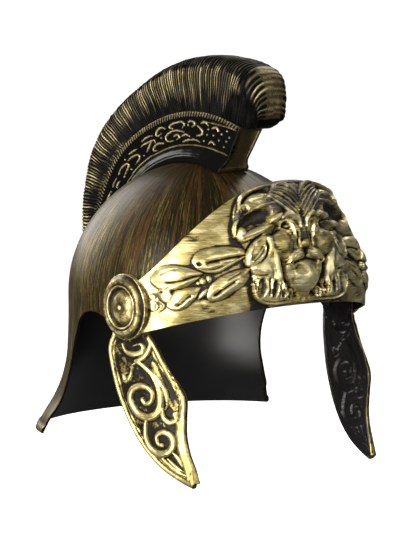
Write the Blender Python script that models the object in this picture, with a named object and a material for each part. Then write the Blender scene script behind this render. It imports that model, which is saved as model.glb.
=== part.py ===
"""Roman style costume helmet in moulded plastic, in the shape that it has when worn.

The origin is the inside of the crown, where the helmet sits on a head. X is
the wearer's left, -Y is the front and +Z is up. All lengths are in metres.

The skull carries the crest box, the plume and the two bosses. The brow plate
and the two cheek guards are pinned at the bosses and turn about one axis, the
pivot axis, which runs along X.
"""

import math
from collections import namedtuple

import bmesh
import bpy
from mathutils import Matrix, Vector

# Driving dimensions of the skull
WALL = 0.0020
CLEARANCE = 0.0003
SKULL_HALF_WIDTH = 0.0965
SKULL_HALF_LENGTH = 0.100
CROWN_DEPTH = 0.096
PLAN_FULLNESS = 2.15
DOME_FULLNESS = 1.95
NECK_DEPTH = 0.1025
NECK_HALF_WIDTH = 0.1215
NECK_REACH = 0.1250
NECK_DIP = 0.0030

# The pivot axis, and what turns on it
PIVOT_FORWARD = 0.0435
PIVOT_SPAN = 0.1995
LUG_RADIUS = 0.012
PIN_RADIUS = 0.004
PIN_PLAY = 0.0003
BOSS_RADIUS = 0.0236
BOSS_HEIGHT = 0.0088
HUB_RADIUS = 0.0195

# The brow plate
BROW_HALF_WIDTH = 0.1060
BROW_REACH = 0.0625
BROW_TOP_REACH = 0.0460
BROW_CENTRE_BACK = -0.0060
BROW_PLAN_FULLNESS = 2.10
BROW_TOP_FULLNESS = 1.75
BROW_HEIGHT = 0.0885
BROW_SWELL = 0.0050
BROW_RELIEF = 0.0130
LEAF_RELIEF = 0.0022

# The cheek guards
GUARD_DROP = 0.1240
GUARD_LENGTH = 0.0550
GUARD_SLANT = 0.22
GUARD_TUCK = 0.045
GUARD_SWELL = 0.0030
GUARD_RELIEF = 0.0022

# The crest, measured from a centre inside the skull
CREST_CENTRE_BACK = 0.0085
CREST_CENTRE_DROP = 0.0760
CREST_RADIUS = 0.1115
CREST_HALF_WIDTH = 0.0118
CREST_FOOT_HALF_WIDTH = 0.0145
CREST_BACK_ANGLE = 9.0
CREST_FRONT_ANGLE = 122.0
PLUME_DEPTH = 0.0400
PLUME_HALF_WIDTH = 0.0185
PLUME_STRIP = 0.0010

# Cells in the meshes
SKULL_COLUMNS = 40
SKULL_DOME_ROWS = 10
BROW_COLUMNS = 76
BROW_ROWS = 24
GUARD_COLUMNS = 12
GUARD_ROWS = 30
INNER_ROWS = 6
PLUME_SECTIONS = 34
BOSS_SIDES = 20

# Rings of the skull below the pivot: drop is a share of the neck's depth, tuck
# of its waist, and side and back say how far the hem's flare has been reached
NeckRing = namedtuple("NeckRing", "drop tuck side back")
NECK_RINGS = (
    NeckRing(drop=0.16, tuck=0.4, side=0.02, back=0.00),
    NeckRing(drop=0.34, tuck=1.0, side=0.08, back=0.00),
    NeckRing(drop=0.50, tuck=1.0, side=0.16, back=0.02),
    NeckRing(drop=0.64, tuck=0.5, side=0.29, back=0.14),
    NeckRing(drop=0.77, tuck=0.0, side=0.48, back=0.36),
    NeckRing(drop=0.89, tuck=0.0, side=0.78, back=0.66),
    NeckRing(drop=1.00, tuck=0.0, side=1.00, back=1.00),
)
NECK_TUCK = 0.0020

# Edge of the face and ear opening behind the bosses: back is a share of the
# length from the pivot to the back of the skull, drop a share of the neck's
OpeningPoint = namedtuple("OpeningPoint", "back drop")
OPENING_EDGE = (
    OpeningPoint(back=0.170, drop=0.150),
    OpeningPoint(back=0.251, drop=0.120),
    OpeningPoint(back=0.334, drop=0.088),
    OpeningPoint(back=0.425, drop=0.100),
    OpeningPoint(back=0.485, drop=0.150),
    OpeningPoint(back=0.523, drop=0.240),
    OpeningPoint(back=0.560, drop=0.390),
    OpeningPoint(back=0.580, drop=0.560),
    OpeningPoint(back=0.591, drop=0.721),
    OpeningPoint(back=0.610, drop=0.830),
    OpeningPoint(back=0.640, drop=0.910),
    OpeningPoint(back=0.664, drop=1.060),
)
FACE_EDGE_RISE = 0.004
EAR_PAD_RADIUS = 0.0155

# A cheek guard from its hub to its tip: drop is a share of GUARD_DROP, front
# and back are shares of GUARD_LENGTH, and lag is how much the rear edge trails
GuardRow = namedtuple("GuardRow", "drop front back lag")
GUARD_TABLE = (
    GuardRow(drop=-0.105, front=-0.100, back=0.100, lag=0.000),
    GuardRow(drop=0.000, front=-0.220, back=0.260, lag=0.000),
    GuardRow(drop=0.145, front=-0.310, back=0.320, lag=0.010),
    GuardRow(drop=0.234, front=-0.435, back=0.370, lag=0.020),
    GuardRow(drop=0.339, front=-0.580, back=0.333, lag=0.030),
    GuardRow(drop=0.424, front=-0.743, back=0.256, lag=0.080),
    GuardRow(drop=0.500, front=-0.846, back=0.145, lag=0.120),
    GuardRow(drop=0.613, front=-0.837, back=0.000, lag=0.120),
    GuardRow(drop=0.718, front=-0.829, back=-0.197, lag=0.120),
    GuardRow(drop=0.815, front=-0.872, back=-0.453, lag=0.110),
    GuardRow(drop=0.911, front=-0.957, back=-0.743, lag=0.070),
    GuardRow(drop=0.985, front=-1.000, back=-0.949, lag=0.015),
)

# The crest by angle round its centre, 90 straight up and 180 to the front:
# top is the box's height as a share of CREST_RADIUS, plume the plume's depth
# as a share of PLUME_DEPTH, and lift raises the plume's underside off the box
CrestRow = namedtuple("CrestRow", "angle top plume lift")
CREST_TABLE = (
    CrestRow(angle=7.0, top=1.000, plume=0.19, lift=0.00),
    CrestRow(angle=20.0, top=1.000, plume=0.37, lift=0.00),
    CrestRow(angle=29.0, top=1.000, plume=0.50, lift=0.00),
    CrestRow(angle=38.0, top=1.002, plume=0.61, lift=0.00),
    CrestRow(angle=49.0, top=1.002, plume=0.67, lift=0.00),
    CrestRow(angle=60.0, top=0.997, plume=0.72, lift=0.00),
    CrestRow(angle=71.0, top=0.997, plume=0.79, lift=0.00),
    CrestRow(angle=83.0, top=1.012, plume=0.91, lift=0.00),
    CrestRow(angle=95.0, top=1.036, plume=1.02, lift=0.00),
    CrestRow(angle=107.0, top=1.065, plume=1.11, lift=0.00),
    CrestRow(angle=115.0, top=1.087, plume=1.16, lift=0.00),
    CrestRow(angle=120.0, top=1.104, plume=1.14, lift=0.00),
    CrestRow(angle=123.0, top=1.114, plume=1.02, lift=0.00),
    CrestRow(angle=125.4, top=1.121, plume=0.80, lift=0.05),
    CrestRow(angle=127.2, top=1.128, plume=0.50, lift=0.13),
    CrestRow(angle=128.2, top=1.132, plume=0.22, lift=0.22),
)

# Side of the crest box: out is a share of its half width, up of its height
BoxPoint = namedtuple("BoxPoint", "out up")
BOX_SECTION = (
    BoxPoint(out=1.20, up=0.12),
    BoxPoint(out=0.95, up=0.22),
    BoxPoint(out=0.86, up=0.30),
    BoxPoint(out=1.00, up=1.00),
)

# Cross-section of the plume: out is a share of its half width, up of its depth
PlumePoint = namedtuple("PlumePoint", "out up")
PLUME_SECTION = (
    PlumePoint(out=0.66, up=0.00),
    PlumePoint(out=0.84, up=0.30),
    PlumePoint(out=1.00, up=0.66),
    PlumePoint(out=0.92, up=0.84),
    PlumePoint(out=0.60, up=0.96),
    PlumePoint(out=0.00, up=1.00),
)
# Cast relief of the brow plate: across is a share of its half width, up of its
# height, and each mound is mirrored unless it stands on the midline
Mound = namedtuple("Mound", "across up wide tall height")
LION_MOUNDS = (
    Mound(across=0.00, up=0.49, wide=0.44, tall=0.62, height=0.42),
    Mound(across=0.00, up=0.52, wide=0.075, tall=0.22, height=0.95),
    Mound(across=0.11, up=0.38, wide=0.12, tall=0.10, height=1.00),
    Mound(across=0.00, up=0.225, wide=0.13, tall=0.13, height=0.95),
    Mound(across=0.19, up=0.50, wide=0.12, tall=0.12, height=0.85),
    Mound(across=0.15, up=0.71, wide=0.16, tall=0.08, height=0.95),
    Mound(across=0.16, up=0.615, wide=0.06, tall=0.045, height=0.78),
    Mound(across=0.08, up=0.88, wide=0.10, tall=0.16, height=0.72),
    Mound(across=0.36, up=0.90, wide=0.14, tall=0.09, height=0.65),
    Mound(across=0.40, up=0.72, wide=0.14, tall=0.09, height=0.70),
    Mound(across=0.35, up=0.48, wide=0.10, tall=0.17, height=0.68),
    Mound(across=0.27, up=0.28, wide=0.09, tall=0.14, height=0.72),
    Mound(across=0.30, up=0.13, wide=0.12, tall=0.10, height=0.62),
)

# Laurel leaves of the brow plate, by where the root and the tip stand on it: the
# first of each pair runs from the midline to a lobe, the second up the plate
Leaf = namedtuple("Leaf", "root tip half_width")
LEAVES = (
    Leaf(root=(0.250, 0.50), tip=(0.475, 0.66), half_width=0.0088),
    Leaf(root=(0.235, 0.34), tip=(0.420, 0.19), half_width=0.0070),
    Leaf(root=(0.430, 0.47), tip=(0.690, 0.73), half_width=0.0090),
    Leaf(root=(0.445, 0.33), tip=(0.625, 0.32), half_width=0.0055),
    Leaf(root=(0.400, 0.40), tip=(0.450, 0.39), half_width=0.0040),
)

# Scroll mounds of a cheek guard: across runs from its front edge to its rear
# edge, down from the pivot to the tip
Scroll = namedtuple("Scroll", "across down size height")
GUARD_SCROLLS = (
    Scroll(across=0.48, down=0.24, size=0.090, height=0.8),
    Scroll(across=0.70, down=0.37, size=0.060, height=0.6),
    Scroll(across=0.61, down=0.47, size=0.095, height=1.0),
    Scroll(across=0.30, down=0.58, size=0.070, height=0.7),
    Scroll(across=0.52, down=0.69, size=0.085, height=0.9),
    Scroll(across=0.51, down=0.83, size=0.085, height=0.8),
)
GUARD_RIM = 0.10

# Profile of a boss: out is a share of its radius, rise of its height
BossPoint = namedtuple("BossPoint", "out rise")
BOSS_PROFILE = (
    BossPoint(out=0.00, rise=0.92),
    BossPoint(out=0.08, rise=0.86),
    BossPoint(out=0.13, rise=0.62),
    BossPoint(out=0.30, rise=0.72),
    BossPoint(out=0.48, rise=0.66),
    BossPoint(out=0.57, rise=0.56),
    BossPoint(out=0.64, rise=1.00),
    BossPoint(out=0.70, rise=0.96),
    BossPoint(out=0.80, rise=0.85),
    BossPoint(out=0.90, rise=0.63),
    BossPoint(out=0.97, rise=0.36),
    BossPoint(out=1.00, rise=0.30),
    BossPoint(out=1.00, rise=0.00),
)

# Places that follow from the sizes above
PIVOT = Vector((0.0, -PIVOT_FORWARD, -CROWN_DEPTH))
LUG_FACE = PIVOT_SPAN / 2.0
GUARD_INNER = LUG_FACE + CLEARANCE
GUARD_OUTER = GUARD_INNER + WALL
LOBE_INNER = GUARD_OUTER + CLEARANCE
LOBE_OUTER = LOBE_INNER + WALL
BOSS_SEAT = LOBE_OUTER + CLEARANCE
CREST_CENTRE = Vector((0.0, CREST_CENTRE_BACK, -CREST_CENTRE_DROP))
LOBE_SHARE = 0.12
SIDES = (("right", -1.0), ("left", 1.0))


def smooth(value):
    """Return value eased from 0 to 1, flat outside that range."""
    clipped = min(max(value, 0.0), 1.0)
    return clipped * clipped * (3.0 - 2.0 * clipped)


def table_value(rows, key, column, at):
    """Read one column of a table of rows at a place, on a smooth curve.

    Args:
        rows: Rows sorted by the key column.
        key: Name of the column that holds the place.
        column: Name of the column to read.
        at: Place to read it at.

    Returns:
        The column's value there.
    """
    keys = [getattr(row, key) for row in rows]
    values = [getattr(row, column) for row in rows]
    at = min(max(at, keys[0]), keys[-1])
    index = max(i for i in range(len(keys) - 1) if keys[i] <= at)
    slopes = []
    for i in (index, index + 1):
        before, after = max(i - 1, 0), min(i + 1, len(keys) - 1)
        slopes.append((values[after] - values[before]) / (keys[after] - keys[before]))
    span = keys[index + 1] - keys[index]
    t = (at - keys[index]) / span
    low = (2 * t**3 - 3 * t**2 + 1) * values[index] + (t**3 - 2 * t**2 + t) * span * slopes[0]
    high = (3 * t**2 - 2 * t**3) * values[index + 1] + (t**3 - t**2) * span * slopes[1]
    return low + high


def superellipse(turn, half_width, half_length, fullness):
    """Return the (x, y) point of a superellipse, turn running from the front to +X."""
    across, ahead = math.sin(turn), math.cos(turn)
    power = 2.0 / fullness
    x = math.copysign(abs(across) ** power, across) * half_width
    y = -math.copysign(abs(ahead) ** power, ahead) * half_length
    return x, y


def material(name, colour, roughness, metallic):
    """Return a Principled BSDF material with a plain colour."""
    made = bpy.data.materials.new(name)
    made.use_nodes = True
    shader = made.node_tree.nodes["Principled BSDF"]
    shader.inputs["Base Color"].default_value = (*colour, 1.0)
    shader.inputs["Roughness"].default_value = roughness
    shader.inputs["Metallic"].default_value = metallic
    return made


def add_object(name, bm, surface=None):
    """Turn a bmesh into an object in the scene, with its faces pointing away from its middle."""
    bmesh.ops.recalc_face_normals(bm, faces=bm.faces[:])
    top = max(bm.faces, key=lambda face: face.calc_center_median().z)
    if top.normal.z < 0.0:
        bmesh.ops.reverse_faces(bm, faces=bm.faces[:])
    mesh = bpy.data.meshes.new(name)
    bm.to_mesh(mesh)
    bm.free()
    mesh.shade_smooth()
    mesh.set_sharp_from_angle(angle=math.radians(40.0))
    if surface:
        mesh.materials.append(surface)
    made = bpy.data.objects.new(name, mesh)
    bpy.context.scene.collection.objects.link(made)
    return made


def hide_tool(tool):
    """Mark an object as a cutter or a filler that another object's Boolean uses."""
    tool.hide_render = True
    tool.display_type = "WIRE"


def add_boolean(target, tool, operation):
    """Cut a tool from a target, or join it on."""
    step = target.modifiers.new(tool.name, "BOOLEAN")
    step.object = tool
    step.operation = operation
    step.solver = "EXACT"


def mapped_grid(bm, columns, rows, place):
    """Add a grid and move each of its vertices to place(u, v), u and v from 0 to 1."""
    made = bmesh.ops.create_grid(bm, x_segments=columns, y_segments=rows, size=0.5)
    for vert in made["verts"]:
        vert.co = place(vert.co.x + 0.5, vert.co.y + 0.5)
    return made["verts"]


def stitch(bm, near, far):
    """Join two rows of vertices, of any two counts, with a strip of triangles."""
    i, j = 0, 0
    ends = (len(near) - 1, len(far) - 1)
    while i < ends[0] or j < ends[1]:
        if j == ends[1] or (i < ends[0] and (i + 1) * ends[1] <= (j + 1) * ends[0]):
            bm.faces.new((near[i], near[i + 1], far[j]))
            i += 1
        else:
            bm.faces.new((near[i], far[j + 1], far[j]))
            j += 1


def plate(columns, rows, outer, inner):
    """Return a closed bmesh between a fine outer grid and a plainer inner one.

    Args:
        columns: Cells across both grids.
        rows: Cells up the outer grid; the inner one has INNER_ROWS.
        outer: Function from (u, v) to a point of the outside.
        inner: Function from (u, v) to a point of the inside.

    Returns:
        The bmesh, with the two grids joined by a rim all the way round.
    """
    bm = bmesh.new()
    face = mapped_grid(bm, columns, rows, outer)
    back = mapped_grid(bm, columns, INNER_ROWS, inner)
    width = columns + 1
    stitch(bm, face[:width], back[:width])
    stitch(bm, face[-width:], back[-width:])
    stitch(bm, face[::width], back[::width])
    stitch(bm, face[columns::width], back[columns::width])
    bmesh.ops.triangulate(bm, faces=bm.faces[:])
    return bm


def axle(radius, start, end, sides=BOSS_SIDES):
    """Return a bmesh of a cylinder about the pivot axis, from x = start to x = end."""
    bm = bmesh.new()
    place = Matrix.Translation((PIVOT.x + (start + end) / 2.0, PIVOT.y, PIVOT.z))
    place = place @ Matrix.Rotation(math.pi / 2.0, 4, "Y")
    bmesh.ops.create_cone(
        bm, cap_ends=True, segments=sides, radius1=radius, radius2=radius,
        depth=abs(end - start), matrix=place,
    )
    return bm


def dome_height(x, y):
    """Return how high the outside of the skull stands above the pivot at (x, y)."""
    plan = (abs(x) / SKULL_HALF_WIDTH) ** PLAN_FULLNESS + (abs(y) / SKULL_HALF_LENGTH) ** PLAN_FULLNESS
    reach = min(plan, 1.0) ** (1.0 / PLAN_FULLNESS)
    return (CROWN_DEPTH + WALL) * (1.0 - reach**DOME_FULLNESS) ** (1.0 / DOME_FULLNESS)


def skull_point(u, v):
    """Place a vertex of the skull's outside, v from 0 at the hem to 1 at the apex."""
    turn = 2.0 * math.pi * u + math.pi
    rings = len(NECK_RINGS)
    step = v * (rings + SKULL_DOME_ROWS)
    if step < rings - 0.5:
        ring = NECK_RINGS[rings - 1 - round(step)]
        half_width = SKULL_HALF_WIDTH + (NECK_HALF_WIDTH - SKULL_HALF_WIDTH) * ring.side
        half_length = SKULL_HALF_LENGTH + (NECK_REACH - SKULL_HALF_LENGTH) * ring.back
        half_length -= NECK_TUCK * ring.tuck
        x, y = superellipse(turn, half_width, half_length, PLAN_FULLNESS)
        dip = NECK_DIP * ring.back * max(y / NECK_REACH, 0.0) ** 2
        return Vector((x, y, -CROWN_DEPTH - NECK_DEPTH * ring.drop - dip))
    climb = (step - rings) / SKULL_DOME_ROWS * math.pi / 2.0
    reach, height = superellipse(climb, 1.0, 1.0, DOME_FULLNESS)
    spread = abs(height)
    x, y = superellipse(turn, SKULL_HALF_WIDTH * spread, SKULL_HALF_LENGTH * spread, PLAN_FULLNESS)
    return Vector((x, y, -CROWN_DEPTH + (CROWN_DEPTH + WALL) * reach))


def opening_outline():
    """Return the (y, z) outline of the face and ear opening, from the front round to the back."""
    length = PIVOT_FORWARD + SKULL_HALF_LENGTH
    far = 2.0 * SKULL_HALF_LENGTH
    points = [(-far, FACE_EDGE_RISE), (-1.9 * EAR_PAD_RADIUS, FACE_EDGE_RISE)]
    for degrees in range(190, 316, 18):
        turn = math.radians(degrees)
        points.append((EAR_PAD_RADIUS * math.cos(turn), EAR_PAD_RADIUS * math.sin(turn)))
    points += [(row.back * length, -row.drop * NECK_DEPTH) for row in OPENING_EDGE]
    points += [(points[-1][0], -2.0 * NECK_DEPTH), (-far, -2.0 * NECK_DEPTH)]
    return points


def build_skull(surface):
    """Build the skull with its neck guard, as one shell open at the face and ears."""
    bm = bmesh.new()
    mapped_grid(bm, SKULL_COLUMNS, len(NECK_RINGS) + SKULL_DOME_ROWS, skull_point)
    bmesh.ops.remove_doubles(bm, verts=bm.verts[:], dist=CLEARANCE / 10.0)
    skull = add_object("skull", bm, surface)
    shell = skull.modifiers.new("wall", "SOLIDIFY")
    shell.thickness = WALL
    shell.offset = -1.0
    shell.use_even_offset = True

    bm = bmesh.new()
    outline = [bm.verts.new((-NECK_REACH * 2.0, PIVOT.y + y, PIVOT.z + z)) for y, z in opening_outline()]
    face = bm.faces.new(outline)
    pushed = bmesh.ops.extrude_face_region(bm, geom=[face])
    moved = [item for item in pushed["geom"] if isinstance(item, bmesh.types.BMVert)]
    bmesh.ops.translate(bm, verts=moved, vec=(NECK_REACH * 4.0, 0.0, 0.0))
    opening = add_object("opening_cutter", bm)
    hide_tool(opening)
    add_boolean(skull, opening, "DIFFERENCE")

    for name, side in SIDES:
        seat, _ = superellipse(math.acos(PIVOT_FORWARD / SKULL_HALF_LENGTH), SKULL_HALF_WIDTH,
                               SKULL_HALF_LENGTH, PLAN_FULLNESS)
        lug = add_object(f"lug_{name}_filler", axle(LUG_RADIUS, side * (seat - WALL), side * LUG_FACE))
        hide_tool(lug)
        add_boolean(skull, lug, "UNION")
    return skull


def brow_edges(u):
    """Return the lower and upper outer points of the brow plate, u from -1 to 1 across it."""
    side = math.copysign(1.0, u)
    share = abs(u)
    if share > 1.0 - LOBE_SHARE:
        past = (share - 1.0 + LOBE_SHARE) / LOBE_SHARE
        back = BROW_CENTRE_BACK + (HUB_RADIUS * 0.97 - BROW_CENTRE_BACK) * math.sin(past * math.pi / 2.0)
        rise = math.sqrt(HUB_RADIUS**2 - back**2)
        x = side * LOBE_OUTER
        return Vector((x, back, -rise)), Vector((x, back, rise))
    turn = share / (1.0 - LOBE_SHARE) * math.pi / 2.0
    x, y = superellipse(turn, BROW_HALF_WIDTH, BROW_REACH, BROW_PLAN_FULLNESS)
    ahead = abs(y) / BROW_REACH
    x = min(x, LOBE_OUTER)
    lower = Vector((side * x, BROW_CENTRE_BACK + y, -HUB_RADIUS * (1.0 - ahead**1.15)))
    x, y = superellipse(turn, BROW_HALF_WIDTH, BROW_TOP_REACH, BROW_TOP_FULLNESS)
    x = min(x, LOBE_OUTER)
    rise = (BROW_HEIGHT - HUB_RADIUS) * (1.0 - min(x / LOBE_OUTER, 1.0) ** 2.15)
    upper = Vector((side * x, BROW_CENTRE_BACK + y, HUB_RADIUS + rise))
    return lower, upper


def past_boss(point, fade):
    """Return 0 under a boss, rising to 1 at a distance fade outside its edge."""
    return smooth((math.hypot(point.y, point.z) - 1.03 * BOSS_RADIUS) / fade)


def brow_base(u, v):
    """Return a point of the brow plate's outside without relief, and its outward direction."""
    def sheet(u_at, v_at):
        lower, upper = brow_edges(u_at)
        point = lower.lerp(upper, v_at)
        out = Vector((point.x, 2.0 * point.y, 0.0))
        swell = BROW_SWELL * 4.0 * v_at * (1.0 - v_at) * past_boss(point, BOSS_RADIUS)
        return point + out.normalized() * swell

    step = 0.01
    point = sheet(u, v)
    along = sheet(min(u + step, 1.0), v) - sheet(max(u - step, -1.0), v)
    up = sheet(u, min(v + step, 1.0)) - sheet(u, max(v - step, 0.0))
    return point, along.cross(up).normalized()


def mound(across, up, row):
    """Return the height of one round mound at a place of the plate, from 0 to 1."""
    near = ((abs(across) - row.across) / row.wide) ** 2 + ((up - row.up) / row.tall) ** 2
    return max(1.0 - near, 0.0) * row.height


def leaf_height(point, row):
    """Return the height of one pointed leaf at a point of the plate, from 0 to 1."""
    side = math.copysign(1.0, point.x)
    root, _ = brow_base(side * row.root[0], row.root[1])
    tip, _ = brow_base(side * row.tip[0], row.tip[1])
    axis = tip - root
    along = (point - root).dot(axis) / axis.length_squared
    if not 0.0 < along < 1.0:
        return 0.0
    beside = (point - root - axis * along).length
    edge = row.half_width * math.sin(math.pi * along**0.75)
    return max(1.0 - beside / edge, 0.0)


def brow_relief(point, v):
    """Return how far the brow plate's relief stands out at a point of it."""
    across = point.x / BROW_HALF_WIDTH
    lion = max(mound(across, v, row) for row in LION_MOUNDS)
    leaf = max(leaf_height(point, row) for row in LEAVES)
    return max(lion * BROW_RELIEF, leaf * LEAF_RELIEF) * past_boss(point, BOSS_RADIUS / 6.0)


def build_brow_plate(surface):
    """Build the brow plate, with the lion mask and leaves raised on it and a pin hole in each lobe."""
    def outer(u, v):
        point, out = brow_base(2.0 * u - 1.0, v)
        edge = smooth(min(v, 1.0 - v) * BROW_ROWS)
        return PIVOT + point + out * brow_relief(point, v) * edge

    def inner(u, v):
        point, out = brow_base(2.0 * u - 1.0, v)
        return PIVOT + point - out * WALL

    brow = add_object("brow_plate", plate(BROW_COLUMNS, BROW_ROWS, outer, inner), surface)
    hole = add_object("brow_hole_cutter", axle(PIN_RADIUS + PIN_PLAY, -2.0 * LUG_FACE, 2.0 * LUG_FACE))
    hide_tool(hole)
    add_boolean(brow, hole, "DIFFERENCE")
    return brow


def guard_base(u, v):
    """Return a point of the right cheek guard's middle surface, u from its front edge to its rear."""
    drops = [row.drop for row in GUARD_TABLE]
    drop = drops[0] + (drops[-1] - drops[0]) * v
    front = table_value(GUARD_TABLE, "drop", "front", drop) * GUARD_LENGTH
    back = table_value(GUARD_TABLE, "drop", "back", drop) * GUARD_LENGTH
    lag = table_value(GUARD_TABLE, "drop", "lag", drop)
    y = front + (back - front) * u
    z = -(drop + lag * u) * GUARD_DROP
    away = smooth((math.hypot(y, z) - 1.03 * HUB_RADIUS) / HUB_RADIUS)
    swell = GUARD_SWELL * 4.0 * u * (1.0 - u) * away
    lean = GUARD_SLANT * y + GUARD_TUCK * z
    if lean < 0.0:
        away = smooth((math.hypot(y, z) - 1.15 * LUG_RADIUS) / HUB_RADIUS)
    lean *= away
    return Vector((-(GUARD_INNER + WALL / 2.0 + lean + swell), y, z))


def guard_relief(u, v):
    """Return how far a cheek guard's rim and scrolls stand out, in metres."""
    drops = [row.drop for row in GUARD_TABLE]
    down = drops[0] + (drops[-1] - drops[0]) * v
    clear = smooth((down * GUARD_DROP - 1.15 * HUB_RADIUS) / (0.3 * HUB_RADIUS))
    rim = 0.6 if min(u, 1.0 - u) < GUARD_RIM else 0.0
    rows = [((u - row.across) / (3.0 * row.size)) ** 2 + ((down - row.down) / row.size) ** 2
            for row in GUARD_SCROLLS]
    raised = [row.height * math.sqrt(max(1.0 - near, 0.0)) for row, near in zip(GUARD_SCROLLS, rows)]
    return GUARD_RELIEF * clear * max(rim, *raised)


def build_cheek_guard(name, side, surface):
    """Build one cheek guard with its origin on the pivot axis."""
    def lay(u, v, out):
        point = guard_base(u, v)
        return Vector((-side * (point.x - out), point.y, point.z))

    def outer(u, v):
        return lay(u, v, WALL / 2.0 + guard_relief(u, v))

    def inner(u, v):
        return lay(u, v, -WALL / 2.0)

    guard = add_object(f"cheek_guard_{name}", plate(GUARD_COLUMNS, GUARD_ROWS, outer, inner), surface)
    guard.location = PIVOT
    start, end = side * (LUG_FACE - WALL), side * (BOSS_SEAT + WALL)
    hole = add_object(f"guard_{name}_hole_cutter", axle(PIN_RADIUS + PIN_PLAY, start, end))
    hide_tool(hole)
    add_boolean(guard, hole, "DIFFERENCE")
    return guard


def build_boss(name, side, surface):
    """Build one boss with the pin that holds the brow plate and a cheek guard to the skull."""
    profile = [(BOSS_SEAT + row.rise * BOSS_HEIGHT, row.out * BOSS_RADIUS) for row in BOSS_PROFILE]
    profile += [(BOSS_SEAT, PIN_RADIUS), (LUG_FACE + CLEARANCE, PIN_RADIUS), (LUG_FACE + CLEARANCE, 0.0)]
    bm = bmesh.new()
    verts = [bm.verts.new((side * x, 0.0, radius)) for x, radius in profile]
    edges = [bm.edges.new(pair) for pair in zip(verts, verts[1:])]
    bmesh.ops.spin(bm, geom=verts + edges, cent=(0.0, 0.0, 0.0), axis=(1.0, 0.0, 0.0),
                   angle=2.0 * math.pi, steps=BOSS_SIDES)
    bmesh.ops.remove_doubles(bm, verts=bm.verts[:], dist=CLEARANCE / 10.0)
    boss = add_object(f"boss_{name}", bm, surface)
    boss.location = PIVOT
    return boss


def crest_point(angle, radius):
    """Return the midline point at an angle in degrees and a radius round the crest's centre."""
    turn = math.radians(angle)
    return CREST_CENTRE + Vector((0.0, radius * math.cos(turn), radius * math.sin(turn)))


def crest_foot(angle, x):
    """Return the radius at which the ray at an angle, offset by x, leaves the skull."""
    low, high = 0.0, 2.0 * CREST_RADIUS
    for _ in range(40):
        middle = (low + high) / 2.0
        point = crest_point(angle, middle)
        inside = point.z < PIVOT.z + dome_height(x, point.y) and abs(point.y) < SKULL_HALF_LENGTH
        low, high = (middle, high) if inside else (low, middle)
    return low + 2.0 * CLEARANCE


def swept(sections):
    """Return a closed bmesh through a list of rings of points, all of one length."""
    bm = bmesh.new()
    rings = [[bm.verts.new(point) for point in ring] for ring in sections]
    loops = []
    for ring in rings:
        loops.append([bm.edges.new((a, b)) for a, b in zip(ring, ring[1:] + ring[:1])])
    for near, far in zip(loops, loops[1:]):
        bmesh.ops.bridge_loops(bm, edges=near + far)
    bm.faces.new(rings[0])
    bm.faces.new(rings[-1])
    return bm


def build_crest_box(surface):
    """Build the crest box, which follows the skull below and carries the plume above."""
    sections = []
    span = CREST_FRONT_ANGLE - CREST_BACK_ANGLE
    count = 20
    for index in range(count + 1):
        angle = CREST_BACK_ANGLE + span * index / count
        top = table_value(CREST_TABLE, "angle", "top", angle) * CREST_RADIUS
        low = crest_foot(angle, 0.0)
        side = crest_foot(angle, CREST_FOOT_HALF_WIDTH)
        right = [(row.out * CREST_HALF_WIDTH, side + row.up * (top - side)) for row in BOX_SECTION]
        right.insert(0, (CREST_FOOT_HALF_WIDTH, side))
        ring = [(0.0, low)] + right + [(-x, radius) for x, radius in reversed(right)]
        ring = [crest_point(angle, radius) + Vector((x, 0.0, 0.0)) for x, radius in ring]
        sections.append(ring)
    return add_object("crest_box", swept(sections), surface)


def build_plume(surface):
    """Build the plume's outer form, with its strands as raised strips from the box outwards."""
    first, last = CREST_TABLE[0].angle, CREST_TABLE[-1].angle
    sections = []
    for index in range(PLUME_SECTIONS + 1):
        angle = first + (last - first) * index / PLUME_SECTIONS
        root = table_value(CREST_TABLE, "angle", "top", angle) * CREST_RADIUS + CLEARANCE
        depth = table_value(CREST_TABLE, "angle", "plume", angle) * PLUME_DEPTH
        root += table_value(CREST_TABLE, "angle", "lift", angle) * PLUME_DEPTH
        strip = PLUME_STRIP * (index % 2)
        left = []
        for row in PLUME_SECTION:
            x = row.out * PLUME_HALF_WIDTH - strip * (row.out > 0.7)
            left.append((x, root + row.up * depth - strip * (row.up > 0.9)))
        ring = left + [(-x, radius) for x, radius in reversed(left[:-1])]
        sections.append([crest_point(angle, radius) + Vector((x, 0.0, 0.0)) for x, radius in ring])
    return add_object("crest_plume", swept(sections), surface)


def main():
    """Clear the scene and build every piece of the helmet."""
    for old in list(bpy.data.objects):
        bpy.data.objects.remove(old)
    bronze = material("bronze", (0.12, 0.085, 0.03), 0.45, 0.75)
    gold = material("antique_gold", (0.45, 0.34, 0.13), 0.38, 0.8)
    black = material("black_plastic", (0.012, 0.011, 0.010), 0.4, 0.0)
    build_skull(bronze)
    build_brow_plate(gold)
    build_crest_box(black)
    build_plume(black)
    for name, side in SIDES:
        build_cheek_guard(name, side, gold)
        build_boss(name, side, gold)


main()
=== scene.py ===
"""Looks of the moulded plastic helmet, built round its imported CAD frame.

Places are in metres in the part's frame: the origin is the inside of the
crown, X is the wearer's left, -Y the front and +Z up. Relief is carved on flat
maps of the surfaces, where lengths and heights are in millimetres.
"""

from __future__ import annotations

import logging
import math
from dataclasses import dataclass
from enum import Enum

import bmesh
import bpy
import numpy as np
from mathutils import Matrix, Vector

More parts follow.
